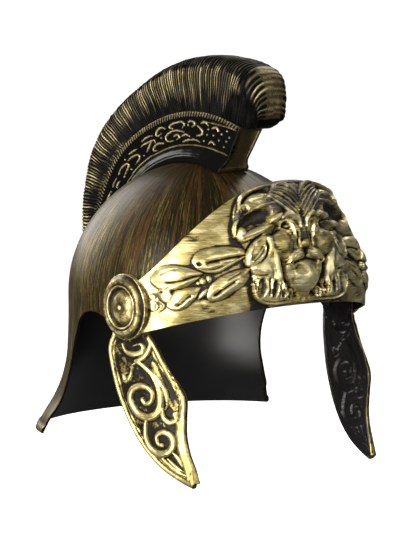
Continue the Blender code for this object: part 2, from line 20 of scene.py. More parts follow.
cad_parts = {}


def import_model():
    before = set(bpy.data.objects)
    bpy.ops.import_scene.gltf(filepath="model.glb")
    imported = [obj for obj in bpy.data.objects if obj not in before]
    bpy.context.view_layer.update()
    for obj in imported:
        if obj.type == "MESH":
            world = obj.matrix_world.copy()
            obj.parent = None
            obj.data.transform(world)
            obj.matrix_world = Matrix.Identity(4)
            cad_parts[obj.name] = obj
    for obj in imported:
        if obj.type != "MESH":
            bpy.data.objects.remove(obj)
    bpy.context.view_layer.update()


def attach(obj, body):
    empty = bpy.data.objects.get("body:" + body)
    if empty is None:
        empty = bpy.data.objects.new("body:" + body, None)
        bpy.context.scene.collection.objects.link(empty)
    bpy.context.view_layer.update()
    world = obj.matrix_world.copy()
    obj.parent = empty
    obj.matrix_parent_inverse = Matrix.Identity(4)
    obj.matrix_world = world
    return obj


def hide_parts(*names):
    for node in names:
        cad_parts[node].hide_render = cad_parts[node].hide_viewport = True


LOG = logging.getLogger("helmet")
Array = np.ndarray
Path = list[tuple[float, float]]

MM = 0.001
WALL = 0.0020
PLAY = 0.0003
WELD = 2e-6
SMOOTH_ANGLE = 42.0
PIVOT = np.array([0.0, -0.0435, -0.096])
CROWN_DEPTH = 0.096
SKULL_HALF_WIDTH = 0.0965
SKULL_HALF_LENGTH = 0.1000
PLAN_FULLNESS = 2.15
DOME_FULLNESS = 1.95
HUB_RADIUS = 0.0195
BOSS_RADIUS = 0.0236
LUG_FACE = 0.09975
LOBE_OUTER = 0.10435
BOSS_SEAT = 0.10465
BARE_TONE = 0.3
RIM_TONE = 0.8
LINED_FROM = 0.4


def ease(value: Array) -> Array:
    """Return values eased from 0 to 1, flat outside that range."""
    clipped = np.clip(value, 0.0, 1.0)
    return clipped * clipped * (3.0 - 2.0 * clipped)


def superellipse(turn: Array, half_width: Array, half_length: Array, fullness: float) -> tuple[Array, Array]:
    """Return x and y of a superellipse, turn running from the front (-y) to +x.

    Args:
        turn: Angle in radians.
        half_width: Half extent along x.
        half_length: Half extent along y.
        fullness: 2 for an ellipse, more for a squarer outline.

    Returns:
        The x and y arrays.
    """
    across, ahead = np.sin(turn), np.cos(turn)
    power = 2.0 / fullness
    x = np.sign(across) * np.abs(across) ** power * half_width
    y = -np.sign(ahead) * np.abs(ahead) ** power * half_length
    return x, y


def run_length(points: Array) -> Array:
    """Return the distance run along a line of points, from 0 at its first."""
    return np.concatenate([[0.0], np.cumsum(np.linalg.norm(np.diff(points, axis=0), axis=1))])


def spaced(last: int, steps: int) -> Array:
    """Return row numbers at even steps from 0 to the last."""
    return np.round(np.linspace(0, last, steps + 1)).astype(int)


def unit(vectors: Array) -> Array:
    """Return vectors scaled to a length of 1."""
    return vectors / np.maximum(np.linalg.norm(vectors, axis=-1, keepdims=True), 1e-12)


def bell(distance: Array, width: float) -> Array:
    """Return 1 at a distance of 0, falling off smoothly over a width."""
    return np.exp(-((distance / width) ** 2))


def arch(distance: Array, half_width: Array) -> Array:
    """Return a round back: 1 at a distance of 0, and 0 from the half width on."""
    return np.sqrt(np.maximum(1.0 - (distance / half_width) ** 2, 0.0))


def section_rows(section: Path, rows: int, squash: float) -> tuple[Array, Array]:
    """Return a section's widths and heights, as columns at even steps along its outline.

    Args:
        section: Width and height of each key, as shares.
        rows: Steps from the first key to the last.
        squash: How much a step sideways counts beside a step up.

    Returns:
        The widths and the heights.
    """
    outs, ups = (np.array(column) for column in zip(*section))
    place = np.concatenate([[0.0], np.cumsum(np.hypot(np.diff(outs) * squash, np.diff(ups)))])
    place /= place[-1]
    share = np.linspace(0.0, 1.0, rows + 1)
    return np.interp(share, place, outs)[:, None], np.interp(share, place, ups)[:, None]


def ring_trace(run: Array, girth: float, shape: tuple[int, int]) -> Array:
    """Return the flat map of a tube, in metres.

    Args:
        run: Place of each column along the tube.
        girth: Length of the map round the tube.
        shape: Rows and columns of the tube.

    Returns:
        The map's two values at each place.
    """
    rise = np.linspace(0.0, girth, shape[0])[:, None]
    return np.stack([np.broadcast_to(run, shape), np.broadcast_to(rise, shape)], axis=-1)


def spline(points: Path, steps: int = 8) -> Array:
    """Return a smooth line through points, as an array of (x, y) rows.

    Args:
        points: Places that the line goes through.
        steps: Pieces that each stretch is cut into.

    Returns:
        The line's points.
    """
    knots = np.array(points, float)
    if len(knots) < 3:
        share = np.linspace(0.0, 1.0, steps + 1)[:, None]
        return knots[0] * (1.0 - share) + knots[-1] * share
    padded = np.vstack([2.0 * knots[0] - knots[1], knots, 2.0 * knots[-1] - knots[-2]])
    parts = []
    share = np.linspace(0.0, 1.0, steps, endpoint=False)[:, None]
    for i in range(len(knots) - 1):
        a, b, c, d = padded[i:i + 4]
        parts.append(0.5 * (2.0 * b + (c - a) * share + (2.0 * a - 5.0 * b + 4.0 * c - d) * share**2
                            + (3.0 * b - a - 3.0 * c + d) * share**3))
    return np.vstack(parts + [knots[-1:]])


def blurred(height: Array, cells: int) -> Array:
    """Return a field of rows and columns blurred by three passes of a box of cells."""
    out = height
    for _ in range(3):
        for axis in (0, 1):
            pad = [(0, 0), (0, 0)]
            pad[axis] = (cells + 1, cells)
            total = np.cumsum(np.pad(out, pad, mode="edge"), axis=axis)
            width = 2 * cells + 1
            high = np.take(total, range(width, total.shape[axis]), axis=axis)
            low = np.take(total, range(0, total.shape[axis] - width), axis=axis)
            out = (high - low) / width
    return out


def spread(height: Array, cells: int, pick: np.ufunc) -> Array:
    """Return the lowest or highest value within a square of cells, pick being np.minimum or np.maximum."""
    out = height
    for axis in (0, 1):
        pad = [(0, 0), (0, 0)]
        pad[axis] = (cells, cells)
        padded = np.pad(out, pad, mode="edge")
        parts = [np.take(padded, range(i, i + height.shape[axis]), axis=axis) for i in range(2 * cells + 1)]
        out = pick.reduce(parts)
    return out


def ripple(x: Array, y: Array, size: float, seed: int) -> Array:
    """Return smooth seeded noise from -1 to 1 over a flat map, with features of a size."""
    rng = np.random.default_rng(seed)
    total = np.zeros(np.broadcast(x, y).shape)
    for _ in range(7):
        angle, phase = rng.uniform(0.0, 2.0 * math.pi, 2)
        pitch = size * rng.uniform(0.7, 1.6)
        total += np.sin((x * math.cos(angle) + y * math.sin(angle)) * 2.0 * math.pi / pitch + phase)
    return np.clip(total / 3.2, -1.0, 1.0)


class Board:
    """A carving board: heights in millimetres over a flat map of a surface."""

    top_tone = 0.88
    least_relief = 0.4
    vein_width = 0.55

    def __init__(self, x: Array, y: Array, fillet: float = 0.5) -> None:
        """Start a flat board.

        Args:
            x: Place along the map, in millimetres.
            y: Place up the map, in millimetres.
            fillet: How softly one form runs into the next.
        """
        self.x = x
        self.y = y
        self.fillet = fillet
        self.height = np.zeros_like(x)

    def lift(self, where: Array, shape: Array) -> None:
        """Raise the board to a shape wherever the shape is the higher, with a small fillet."""
        here = self.height[where]
        near = np.maximum(self.fillet - np.abs(here - shape), 0.0)
        blend = np.maximum(here, shape) + near * near / (4.0 * self.fillet)
        self.height[where] = np.where(shape > 0.0, blend, here)

    def mound(self, centre: tuple[float, float], radii: tuple[float, float], height: float,
              turn: float = 0.0, fullness: float = 0.5, sink: bool = False) -> None:
        """Raise or sink an oval mound.

        Args:
            centre: Its middle.
            radii: Its two half extents.
            height: How high it stands, or how far it sinks.
            turn: Angle of its first extent, in degrees.
            fullness: Power of its profile, small for a flat top with steep sides.
            sink: Whether it is cut into what is there.
        """
        angle = math.radians(turn)
        dx, dy = self.x - centre[0], self.y - centre[1]
        along = (dx * math.cos(angle) + dy * math.sin(angle)) / radii[0]
        beside = (dy * math.cos(angle) - dx * math.sin(angle)) / radii[1]
        near = 1.0 - along**2 - beside**2
        where = near > 0.0
        if sink:
            self.height[where] -= height * ease(near[where]) ** fullness
        else:
            self.lift(where, height * near[where] ** fullness)

    def _line(self, points: Path, reach: float) -> tuple[Array, Array, Array]:
        """Return the cells near a line, their distance to it and their share along it."""
        line = spline(points)
        low, high = line.min(axis=0) - reach, line.max(axis=0) + reach
        where = (self.x > low[0]) & (self.x < high[0]) & (self.y > low[1]) & (self.y < high[1])
        x, y = self.x[where], self.y[where]
        lengths = run_length(line)
        best = np.full(x.shape, np.inf)
        share = np.zeros(x.shape)
        for i in range(len(line) - 1):
            a, step = line[i], line[i + 1] - line[i]
            span = max(float(step @ step), 1e-9)
            t = np.clip(((x - a[0]) * step[0] + (y - a[1]) * step[1]) / span, 0.0, 1.0)
            far = np.hypot(x - a[0] - step[0] * t, y - a[1] - step[1] * t)
            closer = far < best
            best = np.where(closer, far, best)
            share = np.where(closer, (lengths[i] + t * (lengths[i + 1] - lengths[i])) / lengths[-1], share)
        return where, best, share

    def strand(self, points: Path, width: float, height: float, ends: tuple[float, float] = (0.5, 0.3),
               over: bool = False) -> None:
        """Raise a round-backed strand along a line.

        Args:
            points: Places that the line goes through.
            width: Its half width in the middle.
            height: How high its back stands.
            ends: Its width at the start and at the end, as shares of the middle's.
            over: Whether it rides on what is there, or stands from the flat map.
        """
        where, far, share = self._line(points, width)
        start = ends[0] + (1.0 - ends[0]) * ease(share / 0.35)
        end = ends[1] + (1.0 - ends[1]) * ease((1.0 - share) / 0.4)
        back = height * arch(far, width * start * end) * (0.75 + 0.25 * start * end)
        if over:
            self.height[where] += back
        else:
            self.lift(where, back)

    def groove(self, points: Path, width: float, depth: float) -> None:
        """Cut a soft valley along a line into what is there.

        Args:
            points: Places that the line goes through.
            width: Its half width.
            depth: Its depth in the middle.
        """
        where, far, share = self._line(points, 2.2 * width)
        fade = ease(share / 0.15) * ease((1.0 - share) / 0.15) * 0.85 + 0.15
        self.height[where] -= depth * fade * bell(far, width)

    def leaf(self, root: tuple[float, float], tip: tuple[float, float], half_width: float, height: float,
             vein: float = 0.35, bow: float = 0.0) -> None:
        """Raise a leaf that is round at its root and pointed at its tip.

        Args:
            root: Its round end.
            tip: Its pointed end.
            half_width: Half of its greatest width.
            height: How high it stands.
            vein: Depth of its midrib, as a share of its height.
            bow: How far its middle is bent to its left, in millimetres.
        """
        dx, dy = tip[0] - root[0], tip[1] - root[1]
        length = math.hypot(dx, dy)
        ux, uy = dx / length, dy / length
        along = ((self.x - root[0]) * ux + (self.y - root[1]) * uy) / length
        share = np.clip(along, 0.0, 1.0)
        beside = (self.y - root[1]) * ux - (self.x - root[0]) * uy - bow * 4.0 * share * (1.0 - share)
        edge = half_width * 2.49 * np.sqrt(share) * (1.0 - share) ** 0.9
        where = (along > 0.0) & (along < 1.0) & (np.abs(beside) < edge)
        ratio = beside[where] / edge[where]
        dome = np.sqrt(1.0 - ratio**2) * (0.55 + 0.45 * np.sin(math.pi * share[where]))
        rib = vein * bell(beside[where], self.vein_width) * ease((share[where] - 0.18) / 0.2)
        self.lift(where, height * (dome - rib))

    def wear(self, low_tone: float, power: float, reach: int = 6, flat: float = 0.55,
             soft: float = 1.1) -> Array:
        """Return where paint is rubbed on (1) and where it never reached (0).

        Args:
            low_tone: Value at the foot of a form.
            power: More than 1 keeps the gold nearer to the top of a form.
            reach: Cells round a place that its height is compared with.
            flat: Value where there is no relief.
            soft: Rise, in millimetres, over which relief takes the place of the flat value.

        Returns:
            The value of each cell.
        """
        low = blurred(spread(self.height, reach, np.minimum), reach // 2)
        high = blurred(spread(self.height, reach, np.maximum), reach // 2)
        span = high - low
        level = np.clip((self.height - low) / np.maximum(span, self.least_relief), 0.0, 1.0)
        relief = ease(span / soft)
        rubbed = low_tone + (self.top_tone - low_tone) * level**power
        crisp = self.height - blurred(self.height, 1)
        return np.clip(flat + (rubbed - flat) * relief + 0.5 * crisp, -0.3, 1.0)


@dataclass
class Sheet:
    """A carved surface before it is a mesh, as arrays of rows by columns."""

    points: Array
    wear: Array
    trace: Array
    inside: Array
    grey_and_shade: Array | None = None

    panel_rings = ((0.985, -0.0003), (0.84, -0.0003), (0.80, 0.0006), (0.5, 0.0006))
    panel_tone = 0.42
    panel_rim_tone = 0.35

    def __post_init__(self) -> None:
        """Take a sheet without a grey_and_shade array as ungreyed and unshaded all over."""
        if self.grey_and_shade is None:
            self.grey_and_shade = self.wear * 0.0

    @staticmethod
    def wrapped(outer: "Sheet", inner: "Sheet", round_off: float = 0.0004) -> "Sheet":
        """Return one sheet that goes up the outside, over a rounded rim and down the inside.

        Args:
            outer: The outside, first row at the bottom.
            inner: The inside, with as many columns.
            round_off: How far the middle of a rim stands past its edges, in metres.

        Returns:
            The sheet, whose last row lies on its first.
        """
        def rim(near: int, inward: int) -> Array:
            """Return the middle line of a rim, as one row."""
            middle = (outer.points[near] + inner.points[near]) / 2.0
            return (middle + unit(outer.points[near] - outer.points[inward]) * round_off)[None]

        def join(name: str, top: Array, bottom: Array) -> Array:
            """Return an array of both sheets, with the rows of the rims between them."""
            out, back = getattr(outer, name), getattr(inner, name)
            return np.concatenate([out, top, back[::-1], bottom, out[:1]], axis=0)

        return Sheet(
            join("points", rim(-1, -2), rim(0, 1)),
            join("wear", outer.wear[-1:] * 0.0 + RIM_TONE, outer.wear[:1] * 0.0 + RIM_TONE),
            join("trace", outer.trace[-1:], outer.trace[:1]),
            join("inside", outer.inside[-1:], outer.inside[:1]),
            join("grey_and_shade", outer.grey_and_shade[-1:], outer.grey_and_shade[:1]),
        )

    def panelled(self) -> "Sheet":
        """Return a closed tube's sheet with an inset panel in each end, from rings of a size and a depth."""
        sheets = []
        for end, inward in ((0, 1), (-1, -2)):
            ring = self.points[:, end]
            middle = (ring.max(axis=0) + ring.min(axis=0)) / 2.0
            push = unit(self.points[:, inward] - ring)
            extra = [middle + (ring - middle) * size + push * depth for size, depth in self.panel_rings]
            sheets.append(np.stack(extra[::-1] if end == 0 else extra, axis=1))
        points = np.concatenate([sheets[0], self.points, sheets[1]], axis=1)
        more = (len(self.panel_rings), len(self.panel_rings))
        wear = np.pad(self.wear, ((0, 0), more), constant_values=self.panel_tone)
        wear[:, [2, 3, -4, -3]] = self.panel_rim_tone
        across = (points[..., 0] - points[..., 0].mean(axis=0)) / np.ptp(points[..., 0], axis=0).max()
        # Painted highlight: the front end's inner panel is lighter towards the wearer's left (+x).
        wear[:, -2:] = 0.50 + 0.7 * across[:, -2:]
        trace = np.pad(self.trace, ((0, 0), more, (0, 0)), mode="edge")
        return Sheet(points, wear, trace, wear * 0.0)

    def to_object(self, name: str) -> bpy.types.Object:
        """Make the mesh object of the sheet from a bmesh grid, with its seam merged and its ends capped."""
        rows, columns = self.wear.shape
        bm = bmesh.new()
        bmesh.ops.create_grid(bm, x_segments=columns - 1, y_segments=rows - 1, size=0.5)
        mesh = bpy.data.meshes.new(name)
        bm.to_mesh(mesh)
        mesh.vertices.foreach_set("co", self.points.reshape(-1).astype(np.float32))
        for key in ("wear", "inside", "grey_and_shade"):
            store(mesh, key, getattr(self, key))
        flat = np.zeros((rows * columns, 3), np.float32)
        flat[:, :self.trace.shape[-1]] = self.trace.reshape(rows * columns, -1)
        layer = mesh.attributes.new("trace", "FLOAT_VECTOR", "POINT")
        layer.data.foreach_set("vector", flat.reshape(-1))
        bm.clear()
        bm.from_mesh(mesh)
        bmesh.ops.remove_doubles(bm, verts=bm.verts[:], dist=WELD)
        loose = [edge for edge in bm.edges if not edge.link_faces]
        bmesh.ops.delete(bm, geom=loose, context="EDGES")
        bmesh.ops.holes_fill(bm, edges=[edge for edge in bm.edges if edge.is_boundary], sides=0)
        return finished(name, bm, mesh)


def store(mesh: bpy.types.Mesh, name: str, values: Array) -> None:
    """Store a value of each vertex as a named attribute of a mesh."""
    layer = mesh.attributes.new(name, "FLOAT", "POINT")
    layer.data.foreach_set("value", values.reshape(-1).astype(np.float32))


def linked(name: str, data: bpy.types.ID) -> bpy.types.Object:
    """Return a new object of a mesh, a light or a camera, linked to the scene."""
    made = bpy.data.objects.new(name, data)
    bpy.context.scene.collection.objects.link(made)
    return made


def move_new(bm: bmesh.types.BMesh, pushed: dict, step: Vector) -> None:
    """Move the vertices that an extrusion has made."""
    moved = [item for item in pushed["geom"] if isinstance(item, bmesh.types.BMVert)]
    bmesh.ops.translate(bm, verts=moved, vec=step)


def finished(name: str, bm: bmesh.types.BMesh, mesh: bpy.types.Mesh | None = None,
             angle: float = SMOOTH_ANGLE) -> bpy.types.Object:
    """Turn a bmesh into a smooth shaded object whose faces point outwards.

    Args:
        name: Name of the object.
        bm: The bmesh, which is freed.
        mesh: Mesh to write to, or None for a new one.
        angle: Edges sharper than this many degrees stay sharp.

    Returns:
        The object, linked to the scene.
    """
    bmesh.ops.recalc_face_normals(bm, faces=bm.faces[:])
    if bm.calc_volume(signed=True) < 0.0:
        bmesh.ops.reverse_faces(bm, faces=bm.faces[:])
    mesh = mesh or bpy.data.meshes.new(name)
    bm.to_mesh(mesh)
    bm.free()
    mesh.shade_smooth()
    mesh.set_sharp_from_angle(angle=math.radians(angle))
    return linked(name, mesh)


def apply_modifiers(made: bpy.types.Object) -> None:
    """Bake an object's modifiers into its mesh."""
    graph = bpy.context.evaluated_depsgraph_get()
    mesh = bpy.data.meshes.new_from_object(made.evaluated_get(graph))
    made.modifiers.clear()
    made.data = mesh


def outward(points: Array, away: Array) -> Array:
    """Return unit normals of a surface of rows and columns, on the side that away points to."""
    rows, columns = np.gradient(points, axis=0), np.gradient(points, axis=1)
    normal = unit(np.cross(columns, rows))
    side = np.sign(np.sum(normal * away, axis=2, keepdims=True))
    return normal * np.where(side == 0.0, 1.0, side)


def blank_material(name: str) -> tuple[bpy.types.Material, bpy.types.ShaderNode]:
    """Return a new material and its shader node."""
    made = bpy.data.materials.new(name)
    made.use_nodes = True
    return made, made.node_tree.nodes["Principled BSDF"]


class Grain(Enum):
    """Which way the dry brush ran over a piece."""

    ALONG = (1.0, 12.0, 1.0)
    UP = (26.0, 26.0, 1.0)
    EVEN = (2.2, 2.2, 2.2)


@dataclass(frozen=True)
class Paint:
    """Metallic paint rubbed over dark plastic: worn on the high places, missing in the low ones."""

    name: str
    deep: tuple[float, float, float]
    middle: tuple[float, float, float]
    bright: tuple[float, float, float]
    grain: Grain = Grain.ALONG
    streak_scale: float = 140.0
    streak: float = 0.55
    patch_scale: float = 28.0
    patch: float = 0.55
    cover: float = 0.0
    metal: float = 0.75
    rough: float = 0.36
    base_rough: float = 0.34
    bump: float = 0.15
    inside_colour: tuple[float, float, float] = (0.010, 0.0095, 0.0095)
    grey_and_shade_middle: tuple[float, float, float] = (0.105, 0.088, 0.060)
    grey_and_shade_bright: tuple[float, float, float] = (0.34, 0.30, 0.21)
    gloss: float = 0.32
    on_map: bool = True
    tint: tuple[float, float, float] | None = None
    speck_scale: float = 900.0
    speck: float = 0.22
    stops: tuple[float, ...] = (0.28, 0.44, 0.62, 0.86)
    grey_and_shade_stops: tuple[float, ...] = (0.24, 0.42, 0.62, 0.92)
    covered_from: float = 0.26
    covered_to: float = 0.52
    grey_and_shade_metal: float = 0.55

    def material(self) -> bpy.types.Material:
        """Return the Blender material of the paint."""
        made, shader = blank_material(self.name)
        tree = made.node_tree
        nodes = NodeKit(tree)
        place = nodes.attribute("trace", "Vector") if self.on_map else nodes.object_place()
        wear = nodes.attribute("wear", "Fac")
        inside = nodes.attribute("inside", "Fac")
        grey_and_shade = nodes.attribute("grey_and_shade", "Fac")
        brushed = nodes.mapped(place, self.grain.value)
        stroke = nodes.noise(brushed, self.streak_scale, 5.0, 0.62)
        hair = nodes.noise(brushed, self.streak_scale * 2.7, 3.0, 0.7)
        stroke = nodes.math("MULTIPLY_ADD", hair, 0.5, nodes.math("MULTIPLY", stroke, 0.5))
        soft = tuple(size ** 0.37 for size in self.grain.value)
        broad = nodes.noise(nodes.mapped(place, soft), self.patch_scale, 5.0, 0.6)
        speck = nodes.noise(place, self.speck_scale, 3.0, 0.6)
        rubbed, patchy, dotted = (nodes.math("MULTIPLY_ADD", noise, size, -0.5 * size) for noise, size in
                                  ((stroke, self.streak), (broad, self.patch), (speck, self.speck)))
        lit = nodes.math("ADD", nodes.math("ADD", wear, rubbed), nodes.math("ADD", patchy, dotted))
        lit = nodes.math("ADD", lit, self.cover)
        gilt = nodes.ramp(lit, self.stops, (self.deep, self.middle, self.middle, self.bright))
        # A greyer, less metallic copy of the paint where grey_and_shade is set: painted shade on the far
        # side of the lion mask, and a greyed tone on the mane's crown, in random patches on the mask and on
        # the plume's top.
        grey = nodes.ramp(lit, self.grey_and_shade_stops,
                          (self.deep, self.grey_and_shade_middle, self.grey_and_shade_middle, self.grey_and_shade_bright))
        colour = nodes.mix(grey_and_shade, gilt, grey)
        if self.tint is not None:
            warm = nodes.step(nodes.noise(brushed, 9.0, 3.0, 0.6), 0.50, 0.60)
            colour = nodes.mix(nodes.math("MULTIPLY", warm, 0.6), colour, self.tint)
        colour = nodes.mix(inside, colour, self.inside_colour)
        painted = nodes.step(lit, self.covered_from, self.covered_to)
        covered = nodes.math("MULTIPLY", painted, nodes.math("SUBTRACT", 1.0, inside))
        tree.links.new(colour, shader.inputs["Base Color"])
        shader.inputs["Specular IOR Level"].default_value = self.gloss
        metal = nodes.math("MULTIPLY_ADD", grey_and_shade, (self.grey_and_shade_metal - 1.0) * self.metal, self.metal)
        tree.links.new(nodes.math("MULTIPLY", covered, metal), shader.inputs["Metallic"])
        sheen = nodes.math("MULTIPLY_ADD", covered, self.rough - self.base_rough, self.base_rough)
        sheen = nodes.math("MULTIPLY_ADD", inside, -0.08, sheen)
        sheen = nodes.math("MULTIPLY_ADD", speck, 0.12, nodes.math("SUBTRACT", sheen, 0.06))
        tree.links.new(sheen, shader.inputs["Roughness"])
        rise = nodes.math("ADD", nodes.math("MULTIPLY", covered, 0.7), nodes.math("MULTIPLY", stroke, 0.6))
        tree.links.new(nodes.bump(rise, self.bump, 0.0004), shader.inputs["Normal"])
        return made


class NodeKit:
    """Adds shader nodes to a tree and returns the sockets that they give."""

    def __init__(self, tree: bpy.types.NodeTree) -> None:
        """Keep the tree that nodes are added to."""
        self.tree = tree

    def _put(self, socket: bpy.types.NodeSocket, value: object) -> None:
        """Link a socket to another, or set its constant."""
        if isinstance(value, bpy.types.NodeSocket):
            self.tree.links.new(value, socket)
        elif isinstance(value, tuple) and len(value) == 3 and socket.type == "RGBA":
            socket.default_value = (*value, 1.0)
        else:
            socket.default_value = value

    def attribute(self, name: str, output: str) -> bpy.types.NodeSocket:
        """Read a mesh attribute."""
        node = self.tree.nodes.new("ShaderNodeAttribute")
        node.attribute_name = name
        return node.outputs[output]

    def object_place(self) -> bpy.types.NodeSocket:
        """Read the place on the object, in metres."""
        return self.tree.nodes.new("ShaderNodeTexCoord").outputs["Object"]

    def mapped(self, place: bpy.types.NodeSocket, scale: tuple[float, float, float]) -> bpy.types.NodeSocket:
        """Stretch a place, so that noise on it runs in streaks."""
        node = self.tree.nodes.new("ShaderNodeMapping")
        self._put(node.inputs["Vector"], place)
        node.inputs["Scale"].default_value = scale
        return node.outputs["Vector"]

    def noise(self, place: bpy.types.NodeSocket, scale: float, detail: float,
              rough: float) -> bpy.types.NodeSocket:
        """Return fractal noise from about 0.2 to 0.8."""
        node = self.tree.nodes.new("ShaderNodeTexNoise")
        self._put(node.inputs["Vector"], place)
        node.inputs["Scale"].default_value = scale
        node.inputs["Detail"].default_value = detail
        node.inputs["Roughness"].default_value = rough
        return node.outputs["Fac"]

    def math(self, operation: str, a: object, b: object = 0.0, c: object = 0.0) -> bpy.types.NodeSocket:
        """Return the result of a Math node; MULTIPLY_ADD gives a * b + c."""
        node = self.tree.nodes.new("ShaderNodeMath")
        node.operation = operation
        for socket, value in zip(node.inputs, (a, b, c)):
            self._put(socket, value)
        return node.outputs[0]

    def step(self, value: object, low: float, high: float) -> bpy.types.NodeSocket:
        """Return a value mapped smoothly from low..high to 0..1."""
        node = self.tree.nodes.new("ShaderNodeMapRange")
        node.interpolation_type = "SMOOTHSTEP"
        self._put(node.inputs["Value"], value)
        node.inputs["From Min"].default_value = low
        node.inputs["From Max"].default_value = high
        return node.outputs["Result"]

    def mix(self, share: object, first: object, second: object) -> bpy.types.NodeSocket:
        """Return a mix of two colours, the second where the share is 1."""
        node = self.tree.nodes.new("ShaderNodeMix")
        node.data_type = "RGBA"
        self._put(node.inputs["Factor"], share)
        self._put(node.inputs[6], first)
        self._put(node.inputs[7], second)
        return node.outputs[2]

    def ramp(self, value: object, stops: tuple[float, ...], colours: tuple) -> bpy.types.NodeSocket:
        """Return a colour ramp's colour at a value, from the places and colours of its stops."""
        node = self.tree.nodes.new("ShaderNodeValToRGB")
        self._put(node.inputs["Fac"], value)
        bar = node.color_ramp
        while len(bar.elements) < len(stops):
            bar.elements.new(0.5)
        for element, place, colour in zip(bar.elements, stops, colours):
            element.position = place
            element.color = (*colour, 1.0)
        return node.outputs["Color"]

    def bump(self, height: object, strength: float, distance: float) -> bpy.types.NodeSocket:
        """Return the normal of a bump."""
        node = self.tree.nodes.new("ShaderNodeBump")
        node.inputs["Strength"].default_value = strength
        node.inputs["Distance"].default_value = distance
        self._put(node.inputs["Height"], height)
        return node.outputs["Normal"]


@dataclass(frozen=True)
class Plastic:
    """Bare moulded plastic, as on the inside of the thin walls."""

    name: str
    colour: tuple[float, float, float]
    rough: float = 0.34
    gloss: float = 0.5

    def material(self) -> bpy.types.Material:
        """Return the Blender material of the plastic."""
        made, shader = blank_material(self.name)
        nodes = NodeKit(made.node_tree)
        place = nodes.object_place()
        broad = nodes.noise(place, 35.0, 3.0, 0.5)
        colour = nodes.mix(broad, self.colour, tuple(1.6 * part for part in self.colour))
        made.node_tree.links.new(colour, shader.inputs["Base Color"])
        rough = nodes.math("MULTIPLY_ADD", broad, 0.10, self.rough - 0.05)
        made.node_tree.links.new(rough, shader.inputs["Roughness"])
        grain = nodes.noise(place, 420.0, 3.0, 0.55)
        made.node_tree.links.new(nodes.bump(grain, 0.06, 0.0004), shader.inputs["Normal"])
        shader.inputs["Specular IOR Level"].default_value = self.gloss
        return made


@dataclass(frozen=True)
class Paper:
    """Plain studio paper, with a little light of its own so that it stays pale."""

    name: str
    colour: tuple[float, float, float]
    rough: float = 0.9
    glow: float = 0.8

    def material(self) -> bpy.types.Material:
        """Return the Blender material of the paper."""
        made, shader = blank_material(self.name)
        shader.inputs["Base Color"].default_value = (*self.colour, 1.0)
        shader.inputs["Roughness"].default_value = self.rough
        shader.inputs["Emission Color"].default_value = (1.0, 1.0, 1.0, 1.0)
        shader.inputs["Emission Strength"].default_value = self.glow
        return made


def coat(made: bpy.types.Object, paint: Paint, lining: Plastic | None = None) -> None:
    """Paint a piece, and leave its inside faces bare where it has any.

    Args:
        made: The piece, with an inside attribute if it is to be lined.
        paint: The paint of the outside.
        lining: The plastic of the inside, or None for paint all over.
    """
    mesh = made.data
    mesh.materials.append(paint.material())
    if lining is None:
        return
    mesh.materials.append(lining.material())
    inside = np.empty(len(mesh.vertices), np.float32)
    mesh.attributes["inside"].data.foreach_get("value", inside)
    corners = np.empty(len(mesh.loops), np.int32)
    mesh.loops.foreach_get("vertex_index", corners)
    starts = np.empty(len(mesh.polygons), np.int32)
    mesh.polygons.foreach_get("loop_start", starts)
    mean = np.add.reduceat(inside[corners], starts) / np.diff(np.append(starts, len(corners)))
    mesh.polygons.foreach_set("material_index", (mean > LINED_FROM).astype(np.int32))


PALE_GOLD = Paint("pale_antique_gold", (0.012, 0.009, 0.006), (0.46, 0.365, 0.12), (0.92, 0.82, 0.45),
                  streak_scale=75.0, streak=2.1, patch_scale=45.0, patch=1.5, cover=0.12, metal=0.82,
                  rough=0.37)
GUARD_GOLD = Paint("guard_antique_gold", (0.010, 0.008, 0.006), (0.33, 0.255, 0.08), (0.62, 0.53, 0.24),
                   grain=Grain.EVEN, streak_scale=90.0, streak=1.6, patch_scale=60.0, patch=1.1, cover=0.03,
                   metal=0.82, rough=0.37, gloss=0.18)
BOSS_GOLD = Paint("dull_antique_gold", (0.014, 0.010, 0.006), (0.17, 0.125, 0.045), (0.80, 0.69, 0.32),
                  grain=Grain.EVEN, streak_scale=110.0, streak=1.3, patch=0.8, on_map=False, rough=0.30)
BRONZE = Paint("brushed_bronze", (0.010, 0.007, 0.003), (0.050, 0.037, 0.009), (0.24, 0.195, 0.060),
               grain=Grain.UP, streak_scale=34.0, streak=5.5, patch_scale=20.0, patch=1.1, cover=-0.20,
               gloss=0.16, metal=0.6, rough=0.38, tint=(0.082, 0.036, 0.010))
BLACK_PLASTIC = Plastic("black_plastic", (0.010, 0.0095, 0.0095))
BLACK_GILT = Paint("gilded_black", (0.003, 0.0028, 0.0025), (0.085, 0.066, 0.028), (0.46, 0.39, 0.20),
                   grain=Grain.EVEN, streak_scale=120.0, streak=0.5, patch=0.35, gloss=0.16, metal=0.6,
                   rough=0.36, base_rough=0.17, bump=0.05)
PLUME_GILT = Paint("gilded_plume", (0.003, 0.0028, 0.0025), (0.065, 0.052, 0.026), (0.44, 0.375, 0.20),
                   grain=Grain.EVEN, streak_scale=150.0, streak=0.5, patch=0.6, cover=-0.04, gloss=0.04,
                   metal=0.4, rough=0.45, base_rough=0.30, grey_and_shade_middle=(0.040, 0.040, 0.030),
                   grey_and_shade_bright=(0.15, 0.145, 0.105))
WHITE_PAPER = Paper("white_paper", (0.93, 0.93, 0.93))


